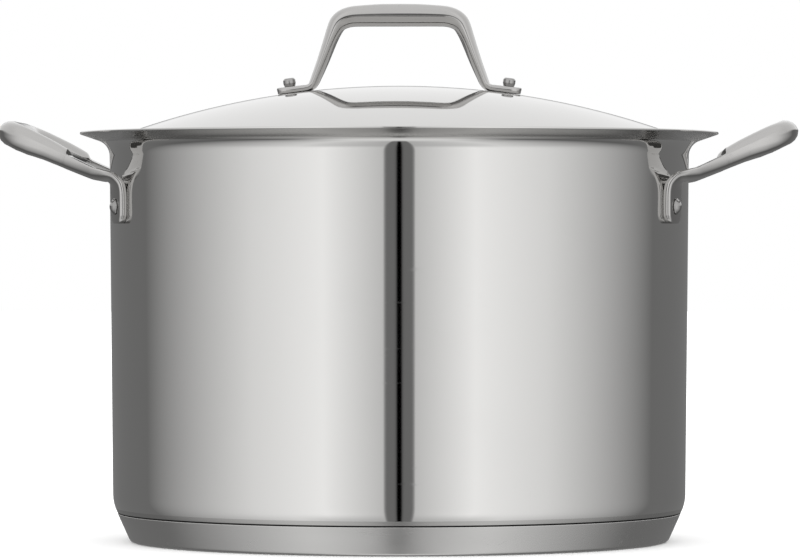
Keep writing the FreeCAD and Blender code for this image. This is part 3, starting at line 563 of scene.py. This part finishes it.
def make_rivet(name, node, body, outline, place, axis, material):
    """A turned rivet: its outline is (radius, height) corners along its own axis."""
    bm = bmesh.new()
    points = rounded(outline, run_steps=3)
    verts = [bm.verts.new(point) for point in points]
    edges = [bm.edges.new(pair) for pair in zip(verts, verts[1:])]
    bmesh.ops.spin(bm, geom=verts + edges, cent=(0, 0, 0), axis=UP, dvec=(0, 0, 0),
                   angle=2 * math.pi, steps=48, use_merge=True, use_normal_flip=False,
                   use_duplicate=False)
    bmesh.ops.rotate(bm, verts=bm.verts, cent=(0, 0, 0),
                     matrix=UP.rotation_difference(axis).to_matrix())
    bmesh.ops.translate(bm, verts=bm.verts, vec=place)
    piece = finished(name, bm)
    weight_shade(piece)
    return placed(piece, body, node, material)


def dome_corners(radius, rise, base, edge):
    """Corners of a low dome over a disc, from its crown to its rim; rise may point down."""
    way = 1 if rise > 0 else -1
    full = abs(rise)
    bend = (radius ** 2 + full ** 2) / (2 * full)
    corners = [(0, base + rise, 0)]
    for step in range(1, 7):
        x = (radius - edge) * step / 6
        corners.append((x, base + way * (full - bend + math.sqrt(bend ** 2 - x ** 2)), 0))
    corners.append((radius, base + way * edge * 0.75, edge * 0.6))
    corners.append((radius, base, 0.1 * MM))
    return corners


def make_rivets(material):
    """Domed rivets through the side handles and button rivets through the lid handle."""
    seat = TAB_THICKNESS + 0.1 * MM
    inside = -POT_SHEET - 0.1 * MM
    head = dome_corners(4.25 * MM, 2.6 * MM, seat, 0.7 * MM)
    foot = dome_corners(5 * MM, -1.3 * MM, inside, 0.6 * MM)
    shank = [(3 * MM, seat, 0), (3 * MM, inside, 0)]
    for side, turned in (("right", 0), ("left", math.pi)):
        for end, angle in (("front", -TAB_LINE), ("rear", TAB_LINE)):
            if side == "left":
                angle = -angle
            axis = turn((1, 0, 0), turned + angle)
            place = axis * wall_radius(RIVET_HEIGHT) + UP * RIVET_HEIGHT
            make_rivet(f"{side}_{end}_domed_rivet", f"{side}_handle_{end}_rivet", "pot",
                       head + shank + foot[::-1], place, axis, material)
    button = [
        (0, 8.15 * MM, 0),
        (2.45 * MM, 8.15 * MM, 0.25 * MM),
        (3.25 * MM, 7.3 * MM, 0.6 * MM),
        (3.3 * MM, 5.5 * MM, 0.8 * MM),
        (2.8 * MM, 3.78 * MM, 0.1 * MM),
        (2 * MM, 3.78 * MM, 0),
        (2 * MM, -0.85 * MM, 0),
    ] + dome_corners(4 * MM, -1.2 * MM, -0.85 * MM, 0.5 * MM)[::-1]
    for side, way in (("left", -1), ("right", 1)):
        x = 57.5 * MM
        tilt = math.asin(x / DOME_BEND)
        axis = Vector((way * math.sin(tilt), 0, math.cos(tilt)))
        place = Vector((way * x, 0, dome_height(x)))
        make_rivet(f"lid_{side}_button_rivet", f"lid_handle_{side}_rivet", "lid",
                   button, place, axis, material)


# ---------------------------------------------------------------- jar rack

HOOP_RADIUS = 138 * MM
HOOP_WIRE = 2.5 * MM
THIN_WIRE = 2 * MM
BASE_HOOP = 19.5 * MM
FLOOR_WIRE = 24 * MM
TOP_HOOP = 100 * MM
DIVIDER = 104.5 * MM
CENTRE_RING = 45 * MM
PIVOT = Vector((130.46 * MM, 45 * MM, 108.75 * MM))
JAR_PLACES = 6                      # jars round the middle one
FLOOR_PITCH = 24 * MM               # between the wires of the floor
FLOOR_WIRES_EACH_SIDE = 5
FOOT_COUNT = 4
FOOT_LOOP = 7 * MM
EYE_RING = 4.25 * MM                # from an eye's centre to the middle of its wire
BAIL_REACH = 86 * MM
BAIL_HALF_WIDTH = 40.5 * MM
BAIL_PIN_END = 50.5 * MM
BIG_WELD = 2.4 * MM
SMALL_WELD = 2.2 * MM


def wire_hoop(bm, radius, wire, height, steps=144, sides=12):
    """A closed hoop of round wire."""
    ring = bmesh.ops.create_circle(bm, segments=sides, radius=wire)["verts"]
    bmesh.ops.rotate(bm, verts=ring, cent=(0, 0, 0), matrix=Matrix.Rotation(math.pi / 2, 3, "X"))
    bmesh.ops.translate(bm, verts=ring, vec=(radius, 0, height))
    edges = list({edge for vert in ring for edge in vert.link_edges})
    bmesh.ops.spin(bm, geom=ring + edges, cent=(0, 0, height), axis=UP, dvec=(0, 0, 0),
                   angle=2 * math.pi, steps=steps, use_merge=True, use_normal_flip=False,
                   use_duplicate=False)


def polar(radius, angle, height):
    """A place from its radius, angle in degrees and height."""
    turned = math.radians(angle)
    return Vector((radius * math.cos(turned), radius * math.sin(turned), height))


def straight_wire(bm, start, end, radius, sideways=UP):
    """One straight wire between two places."""
    round_wire(bm, [(start, 0, sideways), (end, 0, sideways)], radius, spacing=30 * MM)


def rack_piece(name, node, bm, material, body="jar_rack"):
    """Finish a wire piece of the rack."""
    return placed(finished(name, bm), body, node, material)


def make_rack(material):
    """Two hoops, a wire floor, uprights and dividers for seven jars, with welded joints."""
    for name, node, radius, wire, height in (
            ("base_hoop", "rack_base_ring", HOOP_RADIUS, HOOP_WIRE, BASE_HOOP),
            ("top_hoop", "rack_top_ring", HOOP_RADIUS, HOOP_WIRE, TOP_HOOP),
            ("centre_hoop", "rack_centre_ring", CENTRE_RING, THIN_WIRE, DIVIDER - 2 * THIN_WIRE)):
        bm = bmesh.new()
        wire_hoop(bm, radius, wire, height)
        rack_piece(name, node, bm, material)

    bm = bmesh.new()
    for step in range(-FLOOR_WIRES_EACH_SIDE, FLOOR_WIRES_EACH_SIDE + 1):
        y = step * FLOOR_PITCH
        half = math.sqrt(HOOP_RADIUS ** 2 - y ** 2)
        straight_wire(bm, Vector((-half, y, FLOOR_WIRE)), Vector((half, y, FLOOR_WIRE)), THIN_WIRE)
        for way in (-1, 1):
            weld_bead(bm, Vector((way * (half - 0.6 * MM), y, BASE_HOOP + HOOP_WIRE)),
                      BIG_WELD)
    rack_piece("floor_wires", "rack_floor_wires", bm, material)

    bm = bmesh.new()
    upright_radius = HOOP_RADIUS - HOOP_WIRE - THIN_WIRE
    for place in range(JAR_PLACES):
        angle = (place + 0.5) * 360 / JAR_PLACES
        low = polar(upright_radius, angle, BASE_HOOP - HOOP_WIRE)
        high = polar(upright_radius, angle, TOP_HOOP + HOOP_WIRE)
        straight_wire(bm, low, high, THIN_WIRE, polar(1, angle, 0))
        for height in (BASE_HOOP, TOP_HOOP):
            weld_bead(bm, polar(HOOP_RADIUS - HOOP_WIRE, angle, height), SMALL_WELD, squash=0.9)
    rack_piece("uprights", "rack_uprights", bm, material)

    bm = bmesh.new()
    for place in range(JAR_PLACES):
        angle = place * 360 / JAR_PLACES
        straight_wire(bm, polar(CENTRE_RING, angle, DIVIDER), polar(HOOP_RADIUS, angle, DIVIDER),
                      THIN_WIRE)
        weld_bead(bm, polar(CENTRE_RING, angle, DIVIDER - THIN_WIRE), SMALL_WELD)
        weld_bead(bm, polar(HOOP_RADIUS, angle, DIVIDER - THIN_WIRE), BIG_WELD)
    rack_piece("dividers", "rack_dividers", bm, material)

    bm = bmesh.new()
    for place in range(FOOT_COUNT):
        angle = 45 + place * 360 / FOOT_COUNT
        radial = polar(1, angle, 0)
        around = UP.cross(radial)
        middle = polar(HOOP_RADIUS, angle, BASE_HOOP - HOOP_WIRE)
        corners = [(middle + around * FOOT_LOOP, 0, radial)]
        for step in range(1, 12):
            swing = math.pi * step / 12
            corners.append((middle + (around * math.cos(swing) - UP * math.sin(swing)) * FOOT_LOOP,
                            0, radial))
        corners.append((middle - around * FOOT_LOOP, 0, radial))
        round_wire(bm, corners, THIN_WIRE)
        for way in (-1, 1):
            weld_bead(bm, middle + around * way * FOOT_LOOP + UP * 0.4 * MM, 2.5 * MM)
    rack_piece("looped_feet", "rack_feet", bm, material)

    for side, way in (("left", -1), ("right", 1)):
        bm = bmesh.new()
        for end in (-1, 1):
            ring = bmesh.ops.create_circle(bm, segments=12, radius=THIN_WIRE)["verts"]
            centre = Vector((way * PIVOT.x, end * PIVOT.y, PIVOT.z))
            bmesh.ops.translate(bm, verts=ring, vec=centre + Vector((EYE_RING, 0, 0)))
            edges = list({edge for vert in ring for edge in vert.link_edges})
            bmesh.ops.spin(bm, geom=ring + edges, cent=centre, axis=(0, 1, 0), dvec=(0, 0, 0),
                           angle=2 * math.pi, steps=32, use_merge=True, use_normal_flip=False,
                           use_duplicate=False)
            weld_bead(bm, Vector((way * PIVOT.x, end * PIVOT.y, TOP_HOOP + HOOP_WIRE)),
                      BIG_WELD)
        rack_piece(f"{side}_eyes", f"rack_{side}_pivot_eyes", bm, material)

        bm = bmesh.new()
        pin = way * PIVOT.x
        end_x = pin - way * BAIL_REACH
        corners = []
        for side_y in (1, -1):
            run = [
                (Vector((pin, side_y * BAIL_PIN_END, PIVOT.z)), 0, UP),
                (Vector((pin, side_y * BAIL_HALF_WIDTH, PIVOT.z)), 3 * MM, UP),
                (Vector((end_x, side_y * BAIL_HALF_WIDTH, PIVOT.z)), 12 * MM, UP),
            ]
            corners += run if side_y == 1 else run[::-1]
        round_wire(bm, corners, THIN_WIRE)
        rack_piece(f"{side}_folding_bail", f"rack_{side}_handle", bm, material,
                   body=f"rack_{side}_bail")


# ---------------------------------------------------------------- shared shader effects

class Net:
    """Adds nodes to one tree and joins them."""

    def __init__(self, tree):
        """Keep the tree that the nodes go into."""
        self.tree = tree

    def add(self, kind, **settings):
        """A new node with its settings."""
        node = self.tree.nodes.new(kind)
        for name, value in settings.items():
            setattr(node, name, value)
        return node

    def join(self, source, target):
        """A link between two sockets."""
        self.tree.links.new(source, target)

    def math(self, operation, *values):
        """A Math node; each value is a number or another node's output."""
        node = self.add("ShaderNodeMath", operation=operation)
        for socket, value in zip(node.inputs, values):
            if isinstance(value, (int, float)):
                socket.default_value = value
            else:
                self.join(value, socket)
        return node.outputs[0]

    def spread(self, value, low, high, new_low=0.0, new_high=1.0, kind="SMOOTHSTEP"):
        """A value eased from one range to another."""
        node = self.add("ShaderNodeMapRange", interpolation_type=kind)
        self.join(value, node.inputs["Value"])
        for name, number in (("From Min", low), ("From Max", high),
                             ("To Min", new_low), ("To Max", new_high)):
            node.inputs[name].default_value = number
        return node.outputs["Result"]

    def noise(self, vector, scale, detail=2.0, roughness=0.5):
        """Cloudy noise at a scale."""
        node = self.add("ShaderNodeTexNoise")
        self.join(vector, node.inputs["Vector"])
        node.inputs["Scale"].default_value = scale
        node.inputs["Detail"].default_value = detail
        node.inputs["Roughness"].default_value = roughness
        return node.outputs["Fac"]

    def vector(self, x, y, z):
        """A vector of three numbers or outputs."""
        node = self.add("ShaderNodeCombineXYZ")
        for socket, value in zip(node.inputs, (x, y, z)):
            if isinstance(value, (int, float)):
                socket.default_value = value
            else:
                self.join(value, socket)
        return node.outputs[0]


def new_group(name, inputs, outputs):
    """An empty node group; inputs and outputs are (name, kind, value) rows."""
    tree = bpy.data.node_groups.new(name, "ShaderNodeTree")
    for label, kind, value in inputs:
        socket = tree.interface.new_socket(label, in_out="INPUT", socket_type=kind)
        if value is not None:
            socket.default_value = value
    for label, kind in outputs:
        tree.interface.new_socket(label, in_out="OUTPUT", socket_type=kind)
    net = Net(tree)
    return tree, net, net.add("NodeGroupInput").outputs, net.add("NodeGroupOutput").inputs


FLOAT = "NodeSocketFloat"
VECTOR = "NodeSocketVector"


def turned_grain_group():
    """Fine grain left by polishing on a spinning lathe: rings round the pot's axis."""
    tree, net, given, result = new_group(
        "turned grain",
        [("Vector", VECTOR, None), ("Fineness", FLOAT, 1.0)],
        [("Lines", FLOAT), ("Bands", FLOAT)])
    split = net.add("ShaderNodeSeparateXYZ")
    net.join(given["Vector"], split.inputs[0])
    x, y, z = split.outputs
    radius = net.math("SQRT", net.math("ADD", net.math("MULTIPLY", x, x),
                                       net.math("MULTIPLY", y, y)))
    angle = net.math("ARCTAN2", y, x)
    sweep = net.math("ADD", net.math("SINE", angle), net.math("COSINE", angle))
    lines = net.vector(net.math("MULTIPLY", sweep, 0.5),
                       net.math("MULTIPLY", net.math("MULTIPLY", radius, 2600.0),
                                given["Fineness"]),
                       net.math("MULTIPLY", net.math("MULTIPLY", z, 2600.0), given["Fineness"]))
    net.join(net.noise(lines, 1.0, 3.0, 0.65), result["Lines"])
    bands = net.vector(net.math("MULTIPLY", sweep, 0.8), net.math("MULTIPLY", radius, 60.0),
                       net.math("MULTIPLY", z, 60.0))
    net.join(net.noise(bands, 1.0, 2.0, 0.5), result["Bands"])
    return tree


def cast_grain_group():
    """Soft ripple and fine pitting of a cast bar that has been polished by hand."""
    tree, net, given, result = new_group(
        "cast grain",
        [("Vector", VECTOR, None), ("Ripple Scale", FLOAT, 1.0)],
        [("Ripple", FLOAT), ("Pits", FLOAT)])
    stretch = net.add("ShaderNodeVectorMath", operation="SCALE")
    net.join(given["Vector"], stretch.inputs[0])
    net.join(given["Ripple Scale"], stretch.inputs["Scale"])
    net.join(net.noise(stretch.outputs[0], 55.0, 1.0, 0.4), result["Ripple"])
    pits = net.noise(stretch.outputs[0], 900.0, 1.5, 0.5)
    net.join(net.spread(pits, 0.66, 0.78), result["Pits"])
    return tree


def hairlines_group():
    """Sparse hairline scratches from washing and wiping, in two slanted directions."""
    tree, net, given, result = new_group(
        "hairlines",
        [("Vector", VECTOR, None), ("Amount", FLOAT, 0.5)],
        [("Scratches", FLOAT)])
    found = []
    for slant, swing in ((0.6, 0.3), (-0.9, 1.4)):
        mapping = net.add("ShaderNodeMapping")
        net.join(given["Vector"], mapping.inputs["Vector"])
        mapping.inputs["Rotation"].default_value = (slant, swing, slant * 2)
        mapping.inputs["Scale"].default_value = (9.0, 900.0, 420.0)
        warp = net.noise(mapping.outputs[0], 1.0, 1.0, 0.4)
        found.append(net.spread(warp, 0.69, 0.74))
    both = net.math("MAXIMUM", *found)
    patches = net.spread(net.noise(given["Vector"], 22.0, 2.0), 0.45, 0.62)
    net.join(net.math("MULTIPLY", net.math("MULTIPLY", both, patches), given["Amount"]),
             result["Scratches"])
    return tree


def smudges_group():
    """Cloudy handling marks: broad soft patches with small droplet spots inside them."""
    tree, net, given, result = new_group(
        "smudges",
        [("Vector", VECTOR, None), ("Amount", FLOAT, 0.5)],
        [("Haze", FLOAT), ("Spots", FLOAT)])
    cloud = net.spread(net.noise(given["Vector"], 14.0, 4.0, 0.6), 0.46, 0.72)
    net.join(net.math("MULTIPLY", cloud, given["Amount"]), result["Haze"])
    cells = net.add("ShaderNodeTexVoronoi", feature="F1")
    net.join(given["Vector"], cells.inputs["Vector"])
    cells.inputs["Scale"].default_value = 150.0
    spot = net.spread(cells.outputs["Distance"], 0.16, 0.10)
    where = net.spread(net.noise(given["Vector"], 30.0, 1.0), 0.60, 0.70)
    net.join(net.math("MULTIPLY", net.math("MULTIPLY", spot, where), given["Amount"]),
             result["Spots"])
    return tree


def edge_wear_group():
    """Edges rubbed brighter and smoother, and a mask of the hollows, both broken up so that they
    aren't even.
    """
    tree, net, given, result = new_group(
        "edge wear",
        [("Vector", VECTOR, None), ("Amount", FLOAT, 0.5)],
        [("Wear", FLOAT), ("Hollow Mask", FLOAT)])
    shape = net.add("ShaderNodeNewGeometry")
    rough = net.noise(given["Vector"], 120.0, 3.0)
    edge = net.spread(shape.outputs["Pointiness"], 0.51, 0.60)
    # Mask of the hollows from low pointiness; it darkens the steel's colour there.
    hollow = net.spread(shape.outputs["Pointiness"], 0.49, 0.42)
    broken = net.spread(rough, 0.3, 0.6)
    for value, name in ((edge, "Wear"), (hollow, "Hollow Mask")):
        net.join(net.math("MULTIPLY", net.math("MULTIPLY", value, broken), given["Amount"]),
                 result[name])
    return tree


EFFECTS = {
    "turned": turned_grain_group(),
    "cast": cast_grain_group(),
    "hairlines": hairlines_group(),
    "smudges": smudges_group(),
    "wear": edge_wear_group(),
}


def effect(net, name, vector, **values):
    """Use one of the shared effects in a material."""
    node = net.add("ShaderNodeGroup")
    node.node_tree = EFFECTS[name]
    net.join(vector, node.inputs["Vector"])
    for label, value in values.items():
        node.inputs[label.replace("_", " ")].default_value = value
    return node.outputs


# ---------------------------------------------------------------- materials

def steel(name, colour, roughness, grain="turned", grain_depth=0.1, fineness=1.0,
          smudge=0.4, scratch=0.4, wear=0.3, shade=0.9):
    """A polished or brushed metal; shade darkens the cloudy patches and the hollows."""
    material = bpy.data.materials.new(name)
    material.use_nodes = True
    net = Net(material.node_tree)
    shader = material.node_tree.nodes["Principled BSDF"]
    shader.inputs["Metallic"].default_value = 1.0
    vector = net.add("ShaderNodeTexCoord").outputs["Object"]
    marks = effect(net, "smudges", vector, Amount=smudge)
    lines = effect(net, "hairlines", vector, Amount=scratch)
    edges = effect(net, "wear", vector, Amount=wear)
    if grain == "turned":
        surface = effect(net, "turned", vector, Fineness=fineness)
        fine, broad = surface["Lines"], surface["Bands"]
    else:
        surface = effect(net, "cast", vector, Ripple_Scale=fineness)
        fine, broad = surface["Pits"], surface["Ripple"]

    tint = net.add("ShaderNodeMix", data_type="RGBA")
    tint.inputs["A"].default_value = (*colour, 1)
    tint.inputs["B"].default_value = (*[shade * part for part in colour], 1)
    # Colour darkens with the smudge haze, the droplet spots and the hollow mask.
    dull = net.math("MAXIMUM", net.math("MAXIMUM", marks["Haze"], marks["Spots"]),
                    edges["Hollow Mask"])
    net.join(dull, tint.inputs["Factor"])
    net.join(tint.outputs["Result"], shader.inputs["Base Color"])

    level = net.spread(broad, 0.3, 0.7, roughness * 0.85, roughness * 1.2, "LINEAR")
    level = net.math("ADD", level, net.math("MULTIPLY", marks["Haze"], 0.10))
    level = net.math("ADD", level, net.math("MULTIPLY", marks["Spots"], 0.12))
    level = net.math("ADD", level, net.math("MULTIPLY", lines["Scratches"], 0.15))
    level = net.math("SUBTRACT", level, net.math("MULTIPLY", edges["Wear"], roughness * 0.4))
    net.join(level, shader.inputs["Roughness"])

    height = net.math("SUBTRACT", fine, net.math("MULTIPLY", lines["Scratches"], 1.5))
    bump = net.add("ShaderNodeBump")
    bump.inputs["Strength"].default_value = grain_depth
    bump.inputs["Distance"].default_value = 0.00002
    net.join(height, bump.inputs["Height"])
    net.join(bump.outputs["Normal"], shader.inputs["Normal"])
    return material


STEEL = (0.63, 0.625, 0.615)


def make_materials():
    """The finishes of the object."""
    return {
        "mirror": steel("polished steel sheet", STEEL, 0.03, grain_depth=0.08, smudge=0.12,
                        scratch=0.25, wear=0.2),
        "satin": steel("brushed steel base", (0.60, 0.595, 0.585), 0.24, grain_depth=0.35,
                       smudge=0.3, scratch=0.5, wear=0.3),
        # Satin lip and foot: real satin roughness, with a darker colour as painted shade under the
        # lip and the foot.
        "lip": steel("satin lip with painted shade", (0.50, 0.495, 0.485), 0.22, grain_depth=0.25,
                     smudge=0.3, scratch=0.4, wear=0.2),
        # Near-black painted shadow for the joint step under the foot and the gap under the lid's
        # flange.
        "shadow_line": steel("painted shadow line", (0.03, 0.03, 0.03), 0.5, grain_depth=0.3, smudge=0.3,
                      scratch=0.3, wear=0.1),
        "inside": steel("brushed steel inside", (0.61, 0.605, 0.595), 0.20, grain_depth=0.4,
                        smudge=0.4, scratch=0.5, wear=0.2),
        "cast": steel("polished cast steel", (0.47, 0.463, 0.455), 0.06, grain="cast",
                      grain_depth=0.3, smudge=0.3, scratch=0.5, wear=0.4),
        "rivet": steel("rivet steel", (0.36, 0.355, 0.35), 0.08, grain="cast",
                       grain_depth=0.3, fineness=2.0, smudge=0.3, scratch=0.4, wear=0.5),
        "wire": steel("bright drawn wire", (0.58, 0.575, 0.57), 0.16, grain="cast",
                      grain_depth=0.5, fineness=1.5, smudge=0.5, scratch=0.4, wear=0.3,
                      shade=0.75),
        "core": steel("rolled aluminium", (0.80, 0.80, 0.79), 0.32, grain_depth=0.5,
                      fineness=0.6, smudge=0.5, scratch=0.5, wear=0.2),
    }


# ---------------------------------------------------------------- studio

CAMERA_TURN = math.radians(2.2)     # the camera stands a little towards +X
CAMERA_REACH = 2.80
CAMERA_HEIGHT = 0.1593
CAMERA_LENS = 237.5                 # focal length, in millimetres
CAMERA_AIM = Vector((0.0004, 0, 0.1381))

# Brightness of the studio round the pot: (degrees from the camera, brightness) rows.
PANELS = [(0, 0.0), (1, 0.0), (1.5, 0.2), (5.5, 0.2), (6, 0.75), (30, 1.25), (60, 1.0),
          (90, 0.6), (120, 0.2), (180, 0.2)]
FLOOR_GLOW = [(0, 0.0), (1, 0.0), (1.5, 0.2), (5.5, 0.2), (6, 0.6), (45, 0.95), (90, 0.5),
              (120, 0.15), (180, 0.3)]
CEILING = [(0, 1.0), (30, 1.15), (90, 0.9), (180, 1.0)]
OVERHEAD = 1.05
UNDERNEATH = 0.95
OPEN_ROOM = 1.9                     # light on the floor


def ramp(net, turned, rows):
    """Brightness by the angle from the camera, from a table of rows."""
    node = net.add("ShaderNodeValToRGB")
    elements = node.color_ramp.elements
    while len(elements) < len(rows):
        elements.new(0.5)
    for element, (degrees, value) in zip(elements, rows):
        element.position = degrees / 180
        element.color = (value, value, value, 1)
    net.join(turned, node.inputs["Fac"])
    return node.outputs["Color"]


def blend(net, factor, first, second):
    """Mix two brightnesses."""
    node = net.add("ShaderNodeMix", data_type="RGBA")
    net.join(factor, node.inputs["Factor"])
    for socket, value in ((node.inputs["A"], first), (node.inputs["B"], second)):
        if isinstance(value, float):
            socket.default_value = (value, value, value, 1)
        else:
            net.join(value, socket)
    return node.outputs["Result"]


def make_studio():
    """Tall softboxes each side of a dark gap behind the camera, over a white floor."""
    world = bpy.data.worlds.new("studio")
    bpy.context.scene.world = world
    world.use_nodes = True
    net = Net(world.node_tree)
    background = world.node_tree.nodes["Background"]
    facing = net.add("ShaderNodeVectorRotate", rotation_type="Z_AXIS")
    net.join(net.add("ShaderNodeTexCoord").outputs["Generated"], facing.inputs["Vector"])
    facing.inputs["Angle"].default_value = -CAMERA_TURN
    split = net.add("ShaderNodeSeparateXYZ")
    net.join(facing.outputs[0], split.inputs[0])
    x, y, z = split.outputs
    around = net.math("DIVIDE", net.math("ARCTAN2", x, net.math("MULTIPLY", y, -1.0)), math.pi)
    turned = net.math("ABSOLUTE", around)
    climb = net.math("DEGREES", net.math("ARCSINE", z))
    panels = ramp(net, turned, PANELS)
    light = blend(net, net.spread(climb, 2.0, 9.0), panels, ramp(net, turned, CEILING))
    light = blend(net, net.spread(climb, 50.0, 75.0), light, OVERHEAD)
    light = blend(net, net.spread(climb, -20.0, -42.0), light, ramp(net, turned, FLOOR_GLOW))
    light = blend(net, net.spread(climb, -66.0, -82.0), light, UNDERNEATH)
    path = net.add("ShaderNodeLightPath")
    light = blend(net, path.outputs["Is Diffuse Ray"], light, OPEN_ROOM)
    light = blend(net, path.outputs["Is Camera Ray"], light, 1.0)
    net.join(light, background.inputs["Color"])

    bm = bmesh.new()
    bmesh.ops.create_circle(bm, cap_ends=True, segments=96, radius=9.0)
    mesh = bpy.data.meshes.new("floor")
    bm.to_mesh(mesh)
    bm.free()
    floor = bpy.data.objects.new("floor", mesh)
    bpy.context.scene.collection.objects.link(floor)
    floor.location.z = -0.0002
    floor.visible_glossy = False
    paper = bpy.data.materials.new("white paper")
    paper.use_nodes = True
    shader = paper.node_tree.nodes["Principled BSDF"]
    shader.inputs["Base Color"].default_value = (0.9, 0.9, 0.9, 1)
    shader.inputs["Roughness"].default_value = 0.9
    shader.inputs["Specular IOR Level"].default_value = 0.0
    floor.data.materials.append(paper)


def make_camera():
    """A long lens at the height of the pot's upper body."""
    data = bpy.data.cameras.new("camera")
    data.lens = CAMERA_LENS
    data.sensor_width = 36
    data.clip_end = 50
    camera = bpy.data.objects.new("camera", data)
    bpy.context.scene.collection.objects.link(camera)
    camera.location = (math.sin(CAMERA_TURN) * CAMERA_REACH,
                       -math.cos(CAMERA_TURN) * CAMERA_REACH, CAMERA_HEIGHT)
    camera.rotation_euler = (CAMERA_AIM - camera.location).to_track_quat("-Z", "Y").to_euler()
    bpy.context.scene.camera = camera


finishes = make_materials()
make_pot_shell(finishes["mirror"], finishes["lip"], finishes["inside"], finishes["shadow_line"])
make_base_cap(finishes["satin"])
make_lid_dome(finishes["mirror"], finishes["shadow_line"])
make_side_handle("right_cast_handle", "right_handle", 0, finishes["cast"])
make_side_handle("left_cast_handle", "left_handle", math.pi, finishes["cast"])
make_lid_handle(finishes["cast"])
make_rivets(finishes["rivet"])
make_rack(finishes["wire"])
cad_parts["base_core"].data.materials.clear()
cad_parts["base_core"].data.materials.append(finishes["core"])
make_studio()
make_camera()
bpy.context.scene.view_settings.view_transform = "Standard"
